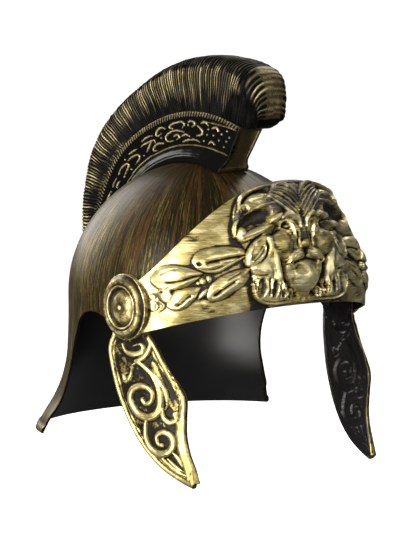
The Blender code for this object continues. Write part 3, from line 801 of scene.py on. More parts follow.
@dataclass
class BrowPlate:
    """The turning visor, with the lion mask on its middle and laurel leaves towards the bosses."""

    half_width: float = 0.1060
    reach: float = 0.0625
    top_reach: float = 0.0460
    centre_back: float = -0.0060
    plan_fullness: float = 2.10
    top_fullness: float = 1.75
    tall: float = 0.0885
    swell: float = 0.0050
    lobe_share: float = 0.12
    columns: int = 520
    rows: int = 150
    inner_rows: int = 8
    smears: tuple = (
        ((79, 49.5), (12, 3.4)), ((73, 1), (15, 3.4)), ((98, -6), (12, 2.6)),
        ((57, 63), (6, 5)),
    )
    nose: tuple = ((0.0, 44.0), (3.6, 10.0))
    cheek: tuple = ((20.5, 44.0), (6.5, 6.5))
    ear: tuple = ((41.0, 62.6), (8.0, 4.6))
    chin: tuple = ((0.0, 20.0), (9.0, 9.0))
    mask_reach: float = 53.0
    crown_line: float = 62.0
    paint: Paint = PALE_GOLD

    def edges(self, u: Array) -> tuple[Array, Array]:
        """Return the lower and the upper edge at places from -1 to 1 across the plate."""
        side, share = np.where(u < 0.0, -1.0, 1.0), np.abs(u)
        past = np.clip((share - 1.0 + self.lobe_share) / self.lobe_share, 0.0, 1.0)
        back = self.centre_back + (HUB_RADIUS * 0.97 - self.centre_back) * np.sin(past * math.pi / 2.0)
        rise = np.sqrt(HUB_RADIUS**2 - back**2)
        turn = np.minimum(share / (1.0 - self.lobe_share), 1.0) * math.pi / 2.0
        x, y = superellipse(turn, self.half_width, self.reach, self.plan_fullness)
        x = np.minimum(x, LOBE_OUTER)
        drop = HUB_RADIUS * (1.0 - (np.abs(y) / self.reach) ** 1.15)
        lower = np.stack([side * x, self.centre_back + y, -drop], axis=-1)
        x, y = superellipse(turn, self.half_width, self.top_reach, self.top_fullness)
        x = np.minimum(x, LOBE_OUTER)
        lift = (self.tall - HUB_RADIUS) * (1.0 - np.minimum(x / LOBE_OUTER, 1.0) ** 2.15)
        upper = np.stack([side * x, self.centre_back + y, HUB_RADIUS + lift], axis=-1)
        lobe = (past > 0.0)[..., None]
        flat = side * LOBE_OUTER
        return (np.where(lobe, np.stack([flat, back, -rise], axis=-1), lower),
                np.where(lobe, np.stack([flat, back, rise], axis=-1), upper))

    def base(self, u: Array, v: Array) -> tuple[Array, Array]:
        """Return the outside without relief, from the pivot, and its outward normals."""
        lower, upper = self.edges(u)
        points = lower + (upper - lower) * v[..., None]
        out = unit(np.stack([points[..., 0], 2.0 * points[..., 1], 0.0 * v], axis=-1))
        bulge = self.swell * 4.0 * v * (1.0 - v) * self.past_boss(points, BOSS_RADIUS)
        points = points + out * bulge[..., None]
        return points, outward(points, out)

    @staticmethod
    def past_boss(points: Array, fade: float) -> Array:
        """Return 0 under a boss, rising to 1 at a distance fade outside its edge."""
        return ease((np.hypot(points[..., 1], points[..., 2]) - 1.03 * BOSS_RADIUS) / fade)

    def map_of(self, u: Array, points: Array) -> tuple[Array, Array]:
        """Return the flat map: millimetres from the midline along the plate, and above the pivot."""
        lower, upper = self.edges(u[0])
        line = (lower + (upper - lower) * 0.4)[:, :2]
        lengths = run_length(line)
        middle = np.interp(0.0, u[0], lengths)
        along = np.broadcast_to(lengths - middle, u.shape)
        return along / MM, points[..., 2] / MM

    @staticmethod
    def carve_mask(board: Board) -> None:
        """Carve one half of the lion mask, the midline at x = 0."""
        board.mound((0, 60), (52.5, 36), 4.2, fullness=0.16)
        board.mound((0, 26), (41.5, 34), 4.2, fullness=0.16)
        board.mound((0, 42), (33, 41), 7.4)
        board.mound((32, 34), (11, 20), 7.6, fullness=0.3)
        board.mound((25.4, 13), (15, 10.5), 7, fullness=0.3)
        board.mound((30, 66), (22, 15), 7.2, turn=-20, fullness=0.3)
        board.mound((0, 72), (26, 15), 7.6)
        board.mound((19.2, 42.8), (11.4, 11.4), 10.8)
        board.mound((24.5, 55.6), (7.6, 3.8), 3, turn=8, sink=True)
        board.mound((13.6, 56.2), (4.6, 3.2), 4, sink=True)
        board.mound((13.2, 55.6), (1.9, 1.5), 6.8)
        board.strand([(12.4, 58.6), (9.8, 54), (8.6, 49), (6.8, 45)], 2, 9.6)
        board.strand([(27.5, 58.4), (24.5, 60.4), (17.8, 63.6)], 3.1, 10, ends=(0.3, 0.7))
        board.strand([(17.2, 61.6), (12.5, 63.4), (8.4, 62.6), (4.2, 59.4), (2.6, 54.4)], 3, 10.6,
                     ends=(0.6, 0.5))
        board.mound((0, 50), (3.6, 12.5), 9)
        board.mound((0, 43.4), (5.4, 4.6), 11)
        board.groove([(5.6, 52), (6.2, 46), (6, 40.6)], 0.8, 2)
        board.mound((8.6, 35.8), (9, 5), 10.4, turn=-24)
        board.groove([(0, 40), (0, 35), (0, 31)], 1.4, 3.6)
        for row in range(3):
            board.groove([(4.2, 38.6 - 2.2 * row), (10, 37 - 2.5 * row), (17.4, 32.6 - 2.2 * row)], 0.5, 0.8)
        board.strand([(6.6, 33.6), (11, 34.4), (15, 31), (12.6, 28.6)], 1.5, 9.8)
        board.groove([(0, 32.6), (5, 31.6), (10.6, 30)], 1, 2.6)
        board.mound((0, 21.2), (12.4, 12.6), 11)
        board.mound((5.4, 26.2), (4.6, 4.4), 1.5, turn=-30, sink=True)
        board.groove([(1, 15.6), (5, 15), (9.6, 16.6)], 0.5, 0.7)
        board.groove([(20.2, 36), (18.8, 28), (16.2, 19), (11, 10.4), (3, 5.6)], 2.5, 5)
        board.strand([(28.2, 48), (26, 38), (24.2, 28), (21.4, 17.6), (15.6, 9.4)], 4.6, 8.9,
                     ends=(0.8, 0.45))
        board.groove([(27.4, 40), (26.6, 32), (24.6, 22)], 0.5, 1)
        board.groove([(34.6, 52), (27.6, 50), (20.6, 53)], 1, 2.6)
        board.strand([(41.6, 18), (39.6, 9.6), (34, 4.6), (26, 3), (14, 3.2), (3, 3.8)], 1.2, 7.4)

    @staticmethod
    def carve_mane(board: Board) -> None:
        """Carve the locks of the mane on one side of the mask."""
        for row in range(11):
            fall = 0.15 * row
            top = 0.5 * math.sin(2.4 * row)
            board.strand([(20 + 4 * fall, 84.2 - 5.4 * fall), (11.8 + 3.4 * fall, 84.2 + top - 9.4 * fall),
                          (5.8 + 2.6 * fall, 81 - 11 * fall), (1.2 + fall, 76.8 - 12.6 * fall)],
                         1.35, 9.6 - 0.9 * (row % 2), ends=(0.6, 0.7))
        board.strand([(48.6, 67), (45, 75.6), (37.6, 81), (28, 83.8), (18, 84.6)], 2.3, 6.6, ends=(0.5, 0.4))
        board.groove([(46, 71), (41, 77.4), (33, 80.4), (22, 80)], 1.4, 3.4)
        board.mound((33.4, 75.2), (9.6, 3.6), 8, turn=-14)
        board.mound((24, 76.4), (5.4, 2.6), 8.2, turn=-10)
        board.mound((44.4, 68), (4.3, 4.3), 7.4)
        board.mound((44.4, 68), (2.7, 2.7), 3, sink=True)
        board.mound((44.4, 68), (1.3, 1.3), 2)
        board.leaf((20, 66.6), (53.5, 49.6), 9.8, 7.2, vein=0, bow=-2)
        board.mound((37.5, 60.6), (14.5, 6.4), 4.2, turn=-29, sink=True)
        board.strand([(26.5, 56.6), (33, 54.2), (40, 51.6), (47.6, 48.6)], 3.4, 8.8, ends=(0.4, 0.9))
        board.mound((47.6, 51.6), (4.6, 5.4), 7.8)
        board.strand([(52.6, 50.4), (51.6, 57.6), (47.6, 63)], 1.5, 7.2)
        board.strand([(14.6, 70.6), (23, 71.6), (32, 69.8), (40, 66.6), (45, 63.8)], 1.6, 8.8,
                     ends=(0.5, 0.6))
        board.leaf((44.4, 29.8), (30.6, 50.6), 7.2, 8.6, vein=0, bow=0.8)
        board.mound((37.4, 40), (9, 4), 2.8, turn=-58, sink=True)
        board.groove([(45.6, 30), (45.8, 38), (41, 46), (31.6, 52.6)], 0.8, 2.4)
        board.groove([(31.4, 47.6), (30.4, 41), (33.6, 34), (42, 28.4)], 0.9, 2.8)
        board.groove([(42.6, 24.6), (36, 23.2), (29.6, 23.4)], 0.8, 2.2)
        board.strand([(42, 32.6), (37, 37.4), (32.6, 43.4)], 0.8, 1.8, over=True)
        board.strand([(41, 27), (36, 25.4), (30.4, 25)], 1.4, 7.8)
        board.mound((35.6, 27.8), (6.4, 5), 7.4)
        for centre, wide, tall, height in (((35.2, 14.6), 5.6, 9.4, 8.2), ((25.4, 13.4), 4.2, 8.6, 8.6),
                                           ((17.8, 11.2), 3.2, 6.6, 7.8), ((12, 8.4), 2.4, 4.6, 7)):
            board.mound(centre, (wide, tall), height, turn=8)
            board.mound(centre, (wide * 0.64, tall * 0.78), 5.2, turn=8, sink=True)
            board.mound((centre[0] + 0.4, centre[1] - 1.4), (wide * 0.28, tall * 0.4), 2.2, turn=12)
            board.groove([(centre[0] - wide - 0.4, centre[1] + 0.8 * tall),
                          (centre[0] - wide, centre[1] - 0.7 * tall)], 0.8, 2.4)

    @staticmethod
    def carve_leaves(board: Board) -> None:
        """Carve the laurel leaves and berries of one side."""
        board.leaf((81.4, 33.4), (46, 38.4), 8.2, 3.6, vein=0)
        board.mound((60, 38.8), (16, 5.2), 3.6, turn=-3)
        board.groove([(46, 37.4), (56.9, 35.8), (64.9, 34.4), (72.7, 32.7)], 0.8, 2.4)
        board.groove([(63, 34.2), (68, 33.2), (73.4, 31.8)], 1.5, 1.8)
        board.strand([(46.4, 36.4), (57, 31.7), (64.8, 27.8), (72, 27), (78.2, 28.8)], 1.5, 3.4)
        board.mound((76.9, 32), (2.1, 1.6), 2, sink=True)
        board.leaf((73.4, 8.6), (41.6, 28.8), 7.2, 3.6, vein=0)
        board.mound((53, 19.8), (12, 6), 3.4, turn=-30)
        board.groove([(52, 20.6), (56.4, 18.1), (60.9, 15.4), (66.6, 11.4), (70.1, 9.4)], 0.9, 2.2)
        board.mound((66.2, 12.4), (4.6, 1.9), 1.5, turn=-34, sink=True)
        board.groove([(48, 26.4), (55, 22.6), (60, 20.2)], 0.5, 0.9)
        board.leaf((109.6, 20), (75, 25.8), 9, 3.8, vein=0)
        board.mound((96, 24.6), (11, 6.4), 3.8, turn=-6)
        board.groove([(73, 25.4), (81.7, 23.3), (89.7, 20.6), (100.6, 18.4)], 0.9, 2.4)
        board.groove([(90, 28.6), (97, 26.6), (103, 23.6)], 0.5, 0.9)
        board.mound((99.8, 10.6), (6.4, 6.2), 3.8)
        board.strand([(87.6, 18.6), (95, 16.2), (101.3, 13.3)], 2.1, 3.8)
        board.mound((94.9, 12.6), (2.2, 1.8), 2.4, sink=True)
        board.mound((102.9, 12.4), (1.6, 1.1), 1.6, sink=True)
        board.mound((99.4, 9.4), (2.3, 2.6), 0.9, fullness=0.4)
        board.mound((75.8, 20.3), (2.5, 2.4), 3.8)
        board.mound((71.6, 21.8), (2.2, 2.6), 3.8)
        board.mound((78.8, 19), (1.5, 1.4), 2.8)
        board.leaf((100.2, 2.6), (77.4, 16.2), 6.6, 3.2, vein=0)
        board.groove([(82.8, 11.1), (86.7, 9), (91.5, 4.8), (95.4, 3)], 1, 2.2)
        board.strand([(73.6, 14.6), (79.6, 8.2)], 1.7, 3.2)
        board.groove([(79.4, 4.6), (74, 8.4)], 1.7, 0.5)
        board.mound((110.5, 8.8), (2.4, 1.5), 2.8)
        board.mound((111.4, 2.4), (4.8, 3.3), 3)
        board.strand([(105.7, 6.1), (102.5, 3.4), (104.2, 0.6), (106.6, -1.6)], 0.8, 2)

    def patina(self, board: Board, along: Array) -> tuple[Array, Array]:
        """Return where gold is rubbed on, and where the paint is greyed: painted shade towards the mask's
        far side, a greyed tone on the mane's crown and in random patches.

        Args:
            board: The carved board, the same on both sides of the midline.
            along: Place along the plate, negative on the wearer's right.

        Returns:
            The two values of each cell.
        """
        near, up = board.x, board.y

        def spot(place: tuple, reach: float) -> Array:
            """Return 1 on an oval place, falling to 0 where its reach ends."""
            (middle, level), (length, breadth) = place
            return ease(reach - np.hypot((near - middle) / length, (up - level) / breadth))

        beside = ease((near - 45.0 + 0.16 * np.maximum(30.0 - up, 0.0)) / 4.0)
        worn = board.wear(0.02, 0.62)
        worn += (board.wear(-0.05, 0.9, reach=3, flat=0.58, soft=3.2) - worn) * beside
        streaky = 0.5 + 0.5 * ripple(0.12 * along, up, 1.3, 31)
        for smear in self.smears:
            worn -= 0.40 * streaky * spot(smear, 1.5)
        worn -= 0.09 * beside * ease(1.6 * ripple(0.2 * along, up, 3.6, 32))
        masked = ease((self.mask_reach - near) / 5.0)
        crown = ease((up - self.crown_line) / 9.0) * ease((34.0 - near) / 10.0)
        # Painted shade: the mask is greyed more and more towards its far side (along > 0), on top of a
        # little greying everywhere and in random patches.
        far_side_shade = 0.60 * ease(along / 40.0) + 0.12 + 0.6 * ripple(along, up, 11.0, 16)
        worn -= 0.06 * masked + 0.55 * spot(self.nose, 1.5) + 0.34 * spot(self.cheek, 1.7)
        worn -= (0.08 + 0.42 * ease(-along / 10.0)) * spot(self.ear, 1.7)
        worn += 0.16 * spot(self.chin, 1.6)
        return worn, masked * np.clip(crown + far_side_shade, 0.0, 1.0)

    def build(self) -> bpy.types.Object:
        """Build the plate as one closed body with its relief."""
        u, v = np.meshgrid(np.linspace(-1.0, 1.0, self.columns + 1), np.linspace(0.0, 1.0, self.rows + 1))
        points, normal = self.base(u, v)
        along, up = self.map_of(u, points)
        board = Board(np.abs(along), up)
        self.carve_mask(board)
        self.carve_mane(board)
        self.carve_leaves(board)
        raised = ease((board.height - 0.3) / 1.5)
        board.height += 0.14 * ripple(along, up, 9.0, 4) * raised
        masked = raised * ease((self.mask_reach + 1.0 - board.x) / 4.0)
        board.height += 0.26 * masked * ripple(along, up, 5.6, 14)
        edge = ease(np.minimum(v, 1.0 - v) * self.rows / 4.0)
        lifted = board.height * edge * self.past_boss(points, BOSS_RADIUS / 6.0)
        worn, grey_and_shade = self.patina(board, along)
        rise = points + normal * (lifted * MM)[..., None]
        trace = np.stack([along * MM, up * MM], axis=-1)
        outer = Sheet(rise + PIVOT, worn, trace, np.zeros_like(u), grey_and_shade)
        pick = spaced(self.rows, self.inner_rows)
        back = points[pick] - normal[pick] * WALL + PIVOT
        inner = Sheet(back, worn[pick] * 0.0 + BARE_TONE, trace[pick], np.ones_like(u[pick]))
        return Sheet.wrapped(outer, inner).to_object("brow_plate_relief")

    def dress(self, made: bpy.types.Object) -> None:
        """Paint the piece and put it in the place of its CAD node."""
        coat(made, self.paint, BLACK_PLASTIC)
        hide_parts("brow_plate")
        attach(made, "brow")


def table_line(keys: Path, column: Array, at: Array) -> Array:
    """Read a table on the smooth curve that the part's source uses.

    Args:
        keys: Sorted places of the rows.
        column: Value of each row.
        at: Places to read at, in one dimension.

    Returns:
        The values there.
    """
    keys, column = np.array(keys, float), np.array(column, float)
    before = np.maximum(np.arange(len(keys)) - 1, 0)
    after = np.minimum(np.arange(len(keys)) + 1, len(keys) - 1)
    slopes = (column[after] - column[before]) / (keys[after] - keys[before])
    at = np.clip(at, keys[0], keys[-1])
    i = np.clip(np.searchsorted(keys, at, side="right") - 1, 0, len(keys) - 2)
    span = keys[i + 1] - keys[i]
    t = (at - keys[i]) / span
    low = (2 * t**3 - 3 * t**2 + 1) * column[i] + (t**3 - 2 * t**2 + t) * span * slopes[i]
    return low + (3 * t**2 - 2 * t**3) * column[i + 1] + (t**3 - t**2) * span * slopes[i + 1]


class Side(Enum):
    """A side of the wearer, with the sign of its x."""

    RIGHT = -1.0
    LEFT = 1.0

    @property
    def label(self) -> str:
        """Return the side's name in lower case."""
        return self.name.lower()


@dataclass
class CheekGuard:
    """A cheek guard: a curved flap with a raised rim and a run of scrolls."""

    side: Side
    drop: float = 0.1240
    length: float = 0.0550
    slant: float = 0.22
    tuck: float = 0.045
    swell: float = 0.0030
    seat_radius: float = 0.0138
    rows: int = 76
    inner_rows: int = 38
    columns: int = 300
    back_share: float = 0.62
    carving_shift: float = 2.4
    paint: Paint = GUARD_GOLD
    outline: tuple = (
        (-0.105, -0.100, 0.100, 0), (0, -0.220, 0.260, 0), (0.145, -0.310, 0.320, 0.010),
        (0.234, -0.435, 0.370, 0.020), (0.339, -0.580, 0.333, 0.030), (0.424, -0.743, 0.256, 0.080),
        (0.500, -0.846, 0.145, 0.120), (0.613, -0.837, 0, 0.120), (0.718, -0.829, -0.197, 0.120),
        (0.815, -0.872, -0.453, 0.110), (0.911, -0.957, -0.743, 0.070), (0.985, -1, -0.949, 0.015),
    )

    def base(self, u: Array, v: Array) -> tuple[Array, Array, Array]:
        """Return the right guard's middle surface from the pivot, its normals and its width in mm."""
        table = np.array(self.outline)
        drops = table[0, 0] + (table[-1, 0] - table[0, 0]) * v[0]
        front, back, lag = (table_line(table[:, 0], table[:, i], drops) for i in (1, 2, 3))
        y = (front + (back - front) * u) * self.length
        z = -(drops + lag * u) * self.drop
        away = ease((np.hypot(y, z) - 1.03 * HUB_RADIUS) / HUB_RADIUS)
        bulge = self.swell * 4.0 * u * (1.0 - u) * away
        lean = self.slant * y + self.tuck * z
        inward = ease((np.hypot(y, z) - self.seat_radius) / HUB_RADIUS)
        lean = lean * np.where(lean < 0.0, inward, away)
        points = np.stack([-(LUG_FACE + PLAY + WALL / 2.0 + lean + bulge), y, z], axis=-1)
        normal = outward(points, np.array([-1.0, 0.0, 0.0]))
        return points, normal, np.broadcast_to((back - front) * self.length / MM, u.shape)

    def carve(self, board: Board, to_edge: Array, below: Array) -> None:
        """Carve the rim and the scrolls.

        Args:
            board: Map of y and z from the pivot.
            to_edge: Distance from the nearer long edge.
            below: Share from the pivot (0) to the tip (1).
        """
        rim = 2.2 * arch(to_edge - 2.0, 2.1)
        thread = 0.9 * arch(to_edge - 5.0, 0.7) * (below > 0.2)
        board.height = np.maximum(board.height, np.maximum(rim, thread))
        board.strand([(-22, -30), (-31, -43), (-39, -54), (-43.6, -63), (-43.8, -72),
                      (-41, -84)], 2.6, 2.3, ends=(0.4, 0.7))
        board.groove([(-28, -37), (-38, -51.5), (-43, -62), (-42.6, -73)], 0.4, 0.8)
        board.groove([(-36, -50), (-41, -61), (-40.6, -72), (-40.6, -84)], 0.4, 0.7)
        board.strand([(-39.6, -72), (-41, -84), (-42.4, -96), (-46, -107), (-50, -118)], 3.6, 2.2,
                     ends=(0.3, 0.8))
        board.x = board.x + self.carving_shift
        board.strand([(8.9, -27.8), (4.5, -32.8), (-3.5, -33.9), (-9.6, -30.6), (-8, -26), (-1.5, -27.9)],
                     2.3, 2.6)
        board.strand([(-14, -19.5), (-15.4, -26.5), (-12.2, -33.6), (-5.8, -38.2), (0.6, -43.2)], 2.3, 2.5)
        board.strand([(-1.5, -43.2), (1.9, -50.5), (6.2, -53.6), (7.6, -49.4), (3.4, -47.4)], 2, 2.4)
        board.mound((4.6, -50), (1.4, 1.9), 1.2, sink=True)
        board.leaf((-16.6, -27.4), (-21.8, -38.8), 2.3, 1.5, vein=0.3)
        board.leaf((-17, -37.6), (-36, -72), 3.9, 1.5, vein=0.35, bow=1.6)
        scroll = [(-4.6, -38.4), (-10.6, -41.2), (-18.4, -47.6), (-23.6, -57.2), (-24.6, -66.5),
                  (-21.2, -74.4), (-12.8, -78.2), (-2.6, -75.6), (3, -66.3), (-1.2, -58.4), (-10.5, -55.9),
                  (-17.6, -59.6), (-17, -65.8), (-12.2, -68.4), (-8.8, -65.6)]
        board.strand(scroll, 3, 2.9, ends=(0.6, 0.6))
        board.groove(scroll[:8], 0.35, 0.5)
        board.strand([(-15, -43.2), (-21.6, -49), (-28, -57.6), (-30.4, -66), (-28.6, -71.4)], 2.1, 2.4)
        board.strand([(-26.8, -70.6), (-26.8, -76.6), (-31.6, -79.8), (-36.8, -77.4), (-35.8, -73.6)],
                     2.5, 2.8, ends=(0.5, 0.9))
        second = [(-12.6, -78), (-10.6, -85), (-10.2, -93.6), (-13.4, -100.2), (-20.8, -103.6),
                  (-29.4, -101.8), (-34, -96.2), (-32.4, -89.8), (-26.4, -87.4), (-21, -90.6),
                  (-21.6, -95.8), (-25.2, -97)]
        board.strand(second, 2.9, 2.8, ends=(0.6, 0.6))
        board.strand([(-34, -101.5), (-38.6, -105.8), (-41.6, -110.8)], 1.8, 1.9)
        board.strand([(-24, -105.8), (-30.4, -110.8), (-37.6, -114.2), (-45, -116.6)], 2.4, 2.4)
        board.strand([(-29.5, -106), (-35.6, -110.8), (-43, -114)], 1.6, 2)
        board.mound((-50, -121.4), (2.6, 2.2), 1.8)

    def build(self) -> bpy.types.Object:
        """Build the guard as one closed body, its inside following its outside as thin plastic does."""
        v, u = np.meshgrid(np.linspace(0.0, 1.0, self.columns + 1), np.linspace(0.0, 1.0, self.rows + 1))
        points, normal, wide = self.base(u, v)
        y, z = points[..., 1] / MM, points[..., 2] / MM
        board = Board(y, z, fillet=0.35)
        self.carve(board, np.minimum(u, 1.0 - u) * wide, -z / (self.drop / MM))
        clear = ease((np.hypot(y, z) - BOSS_RADIUS / MM - 0.6) / 3.0)
        board.height *= clear
        board.height += 0.08 * ripple(y, z, 6.0, 9)
        worn = board.wear(0.10, 0.9, reach=5, flat=0.36)
        sheet = np.stack([y * MM, z * MM], axis=-1)
        outer = points + normal * (WALL / 2.0 + board.height * MM)[..., None]
        pick = spaced(self.rows, self.inner_rows)
        sunk = self.back_share * board.height[pick] * MM - WALL / 2.0
        inner = points[pick] + normal[pick] * sunk[..., None]
        front = Sheet(self._placed(outer), worn, sheet, np.zeros_like(u))
        dark = np.ones_like(u[pick])
        dark[:, :2] = dark[:, -3:] = 0.0
        back = Sheet(self._placed(inner), worn[pick] * 0.0 + BARE_TONE, sheet[pick], dark)
        return Sheet.wrapped(front, back).to_object(f"cheek_guard_{self.side.label}_relief")

    def dress(self, made: bpy.types.Object) -> None:
        """Paint the piece and put it in the place of its CAD node."""
        coat(made, self.paint, BLACK_PLASTIC)
        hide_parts(f"cheek_guard_{self.side.label}")
        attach(made, f"guard_{self.side.label}")

    def _placed(self, points: Array) -> Array:
        """Move points of the right guard to this guard's side, in the part's frame."""
        return points * np.array([-self.side.value, 1.0, 1.0]) + PIVOT


@dataclass
class Boss:
    """The round stud over a pivot, turned from one profile with its pin."""

    side: Side
    height: float = 0.0088
    pin_radius: float = 0.004
    steps: int = 112
    dent: float = 0.00012
    paint: Paint = BOSS_GOLD
    profile: tuple = (
        (0, 0.95, 1), (0.035, 0.94, 0.95), (0.065, 0.90, 0.7), (0.085, 0.83, 0.2), (0.11, 0.80, 0.1),
        (0.15, 0.82, 0.40), (0.22, 0.82, 0.62), (0.30, 0.785, 0.72), (0.38, 0.71, 0.72), (0.45, 0.61, 0.62),
        (0.51, 0.50, 0.35), (0.55, 0.44, 0.05), (0.57, 0.44, 0), (0.585, 0.48, 0.05), (0.605, 0.68, 0.5),
        (0.625, 0.77, 0.85), (0.65, 0.78, 0.9), (0.67, 0.73, 0.4), (0.685, 0.68, 0), (0.70, 0.69, 0.05),
        (0.73, 0.77, 0.50), (0.77, 0.81, 0.78), (0.82, 0.78, 0.72), (0.87, 0.69, 0.48), (0.915, 0.56, 0.28),
        (0.945, 0.44, 0.05), (0.96, 0.36, 0), (0.975, 0.34, 0.35),
        (0.99, 0.33, 0.9), (1, 0.29, 0.7), (1, 0.24, 0), (1, 0, 0),
    )

    def build(self) -> bpy.types.Object:
        """Build the stud and its pin as one closed body."""
        rows = [(BOSS_SEAT + rise * self.height, out * BOSS_RADIUS) for out, rise, _ in self.profile]
        pin_end = LUG_FACE + PLAY
        rows += [(BOSS_SEAT, self.pin_radius), (pin_end, self.pin_radius), (pin_end, 0.0)]
        bm = bmesh.new()
        verts = [bm.verts.new((self.side.value * x, 0.0, radius)) for x, radius in rows]
        edges = [bm.edges.new(pair) for pair in zip(verts, verts[1:])]
        bmesh.ops.spin(bm, geom=verts + edges, cent=(0.0, 0.0, 0.0), axis=(1.0, 0.0, 0.0),
                       angle=2.0 * math.pi, steps=self.steps, use_merge=True)
        bmesh.ops.remove_doubles(bm, verts=bm.verts[:], dist=WELD)
        self._hammer(bm)
        bmesh.ops.translate(bm, verts=bm.verts[:], vec=Vector(PIVOT))
        made = finished(f"boss_{self.side.label}_stud", bm, angle=60.0)
        self._wear(made.data)
        return made

    def dress(self, made: bpy.types.Object) -> None:
        """Paint the piece and put it in the place of its CAD node."""
        coat(made, self.paint)
        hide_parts(f"boss_{self.side.label}")
        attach(made, "shell")

    def _hammer(self, bm: bmesh.types.BMesh) -> None:
        """Press small uneven dimples into the dome of the stud."""
        co = np.array([vert.co for vert in bm.verts])
        far = np.hypot(co[:, 1], co[:, 2]) / BOSS_RADIUS
        dome = ease((far - 0.15) / 0.08) * (np.abs(co[:, 0]) > BOSS_SEAT)
        dents = ripple(co[:, 1] / MM, co[:, 2] / MM, 4.4, 21) * dome
        for vert, depth in zip(bm.verts, dents):
            vert.co.x -= self.side.value * max(float(depth), 0.0) * self.dent

    def _wear(self, mesh: bpy.types.Mesh) -> None:
        """Store where the gold is rubbed on, by the profile's own values."""
        co = np.zeros(len(mesh.vertices) * 3, np.float32)
        mesh.vertices.foreach_get("co", co)
        co = co.reshape(-1, 3) - PIVOT
        far = np.hypot(co[:, 1], co[:, 2]) / BOSS_RADIUS
        outs, _, worn = (np.array(column) for column in zip(*self.profile))
        value = np.interp(far, outs[:-2], worn[:-2])
        value -= 0.12 * ripple(co[:, 1] / MM, co[:, 2] / MM, 7.0, 22)
        store(mesh, "wear", np.clip(value, 0.0, 1.0))


@dataclass
class Skull:
    """The bell of the helmet with its neck guard, cut out for the face and the ears."""

    half_width: float = SKULL_HALF_WIDTH
    half_length: float = SKULL_HALF_LENGTH
    neck_depth: float = 0.1025
    neck_half_width: float = 0.1215
    neck_reach: float = 0.1250
    neck_dip: float = 0.0030
    neck_tuck: float = 0.0020
    lug_radius: float = 0.0120
    lug_steps: int = 72
    ear_radius: float = 0.0155
    face_edge: float = 0.004
    columns: int = 336
    neck_rows: int = 74
    dome_rows: int = 84
    inner_rows: int = 55
    map_radius: float = 0.095
    paint: Paint = BRONZE
    rings: tuple = (
        (0, 0, 0, 0), (0.16, 0.4, 0.02, 0), (0.34, 1, 0.08, 0), (0.50, 1, 0.16, 0.02),
        (0.64, 0.5, 0.29, 0.14), (0.77, 0, 0.48, 0.36), (0.89, 0, 0.78, 0.66), (1, 0, 1, 1),
    )
    edge: tuple = (
        (0.170, 0.150), (0.251, 0.120), (0.334, 0.088), (0.425, 0.100), (0.485, 0.150), (0.523, 0.240),
        (0.560, 0.390), (0.580, 0.560), (0.591, 0.721), (0.610, 0.830), (0.640, 0.910), (0.664, 1.060),
    )

    def shell_points(self) -> Array:
        """Return the outside as rows from the hem to the apex, the first column at the back."""
        turn = np.linspace(0.0, 2.0 * math.pi, self.columns + 1)[None] + math.pi
        drop = np.linspace(1.0, 0.0, self.neck_rows + 1)[:-1, None]
        table = np.array(self.rings)
        tuck, side, back = (table_line(table[:, 0], table[:, i], drop[:, 0])[:, None] for i in (1, 2, 3))
        wide = self.half_width + (self.neck_half_width - self.half_width) * side
        long = self.half_length + (self.neck_reach - self.half_length) * back - self.neck_tuck * tuck
        x, y = superellipse(turn, wide, long, PLAN_FULLNESS)
        dip = self.neck_dip * back * np.maximum(y / self.neck_reach, 0.0) ** 2
        neck = np.stack([x, y, -CROWN_DEPTH - self.neck_depth * drop - dip], axis=-1)
        climb = np.linspace(0.0, math.pi / 2.0, self.dome_rows + 1)[:, None]
        reach, height = superellipse(climb, 1.0, 1.0, DOME_FULLNESS)
        share = np.maximum(-height, 0.0)
        x, y = superellipse(turn, self.half_width * share, self.half_length * share, PLAN_FULLNESS)
        dome = np.stack([x, y, -CROWN_DEPTH + (CROWN_DEPTH + WALL) * reach + 0.0 * x], axis=-1)
        return np.concatenate([neck, dome], axis=0)

    def relief(self, points: Array) -> Array:
        """Return the height of the outside's fine forms, in millimetres."""
        x, y, z = (points[..., i] / MM for i in range(3))
        height = 0.10 * ripple(np.arctan2(x, -y) * 95.0, z, 34.0, 3)
        dome = ease((z + 60.0) / 20.0)
        for offset in (13.0, 15.2):
            height -= 0.55 * bell(np.abs(x) - offset - 2.5 * ease((-y - 40.0) / 60.0), 0.45) * dome
        height -= 0.35 * bell(x, 0.5) * dome
        above_hem = z + (CROWN_DEPTH + self.neck_depth) / MM
        for place, width, rise in ((2.2, 1.5, 0.8), (5.4, 0.9, -0.35)):
            height += rise * bell(above_hem - place, width) * (z < -120.0)
        return height

    def opening(self) -> bpy.types.Object:
        """Return the cutter for the face and ear openings."""
        length, far = self.half_length - PIVOT[1], 2.0 * self.half_length
        outline = [(-far, self.face_edge), (-1.9 * self.ear_radius, self.face_edge)]
        for degrees in range(190, 316, 9):
            turn = math.radians(degrees)
            outline.append((self.ear_radius * math.cos(turn), self.ear_radius * math.sin(turn)))
        curve = spline([(back * length, -drop * self.neck_depth) for back, drop in self.edge], 5)
        outline += [tuple(point) for point in curve]
        outline += [(outline[-1][0], -2.0 * self.neck_depth), (-far, -2.0 * self.neck_depth)]
        bm = bmesh.new()
        reach = 2.0 * self.neck_reach
        face = bm.faces.new([bm.verts.new((-reach, PIVOT[1] + y, PIVOT[2] + z)) for y, z in outline])
        move_new(bm, bmesh.ops.extrude_face_region(bm, geom=[face]), Vector((2.0 * reach, 0.0, 0.0)))
        return finished("opening_cutter", bm)

    def lug(self, side: Side) -> bpy.types.Object:
        """Return a lug, the round seat of a pivot on the shell's side."""
        turn = np.array(math.acos(-PIVOT[1] / self.half_length))
        seat, _ = superellipse(turn, self.half_width, self.half_length, PLAN_FULLNESS)
        inner, outer = float(seat) - WALL, LUG_FACE
        bm = bmesh.new()
        place = Matrix.Translation((side.value * (inner + outer) / 2.0, PIVOT[1], PIVOT[2]))
        bmesh.ops.create_cone(bm, cap_ends=True, segments=self.lug_steps, radius1=self.lug_radius,
                              radius2=self.lug_radius, depth=outer - inner,
                              matrix=place @ Matrix.Rotation(math.pi / 2.0, 4, "Y"))
        return finished(f"lug_{side.label}", bm)

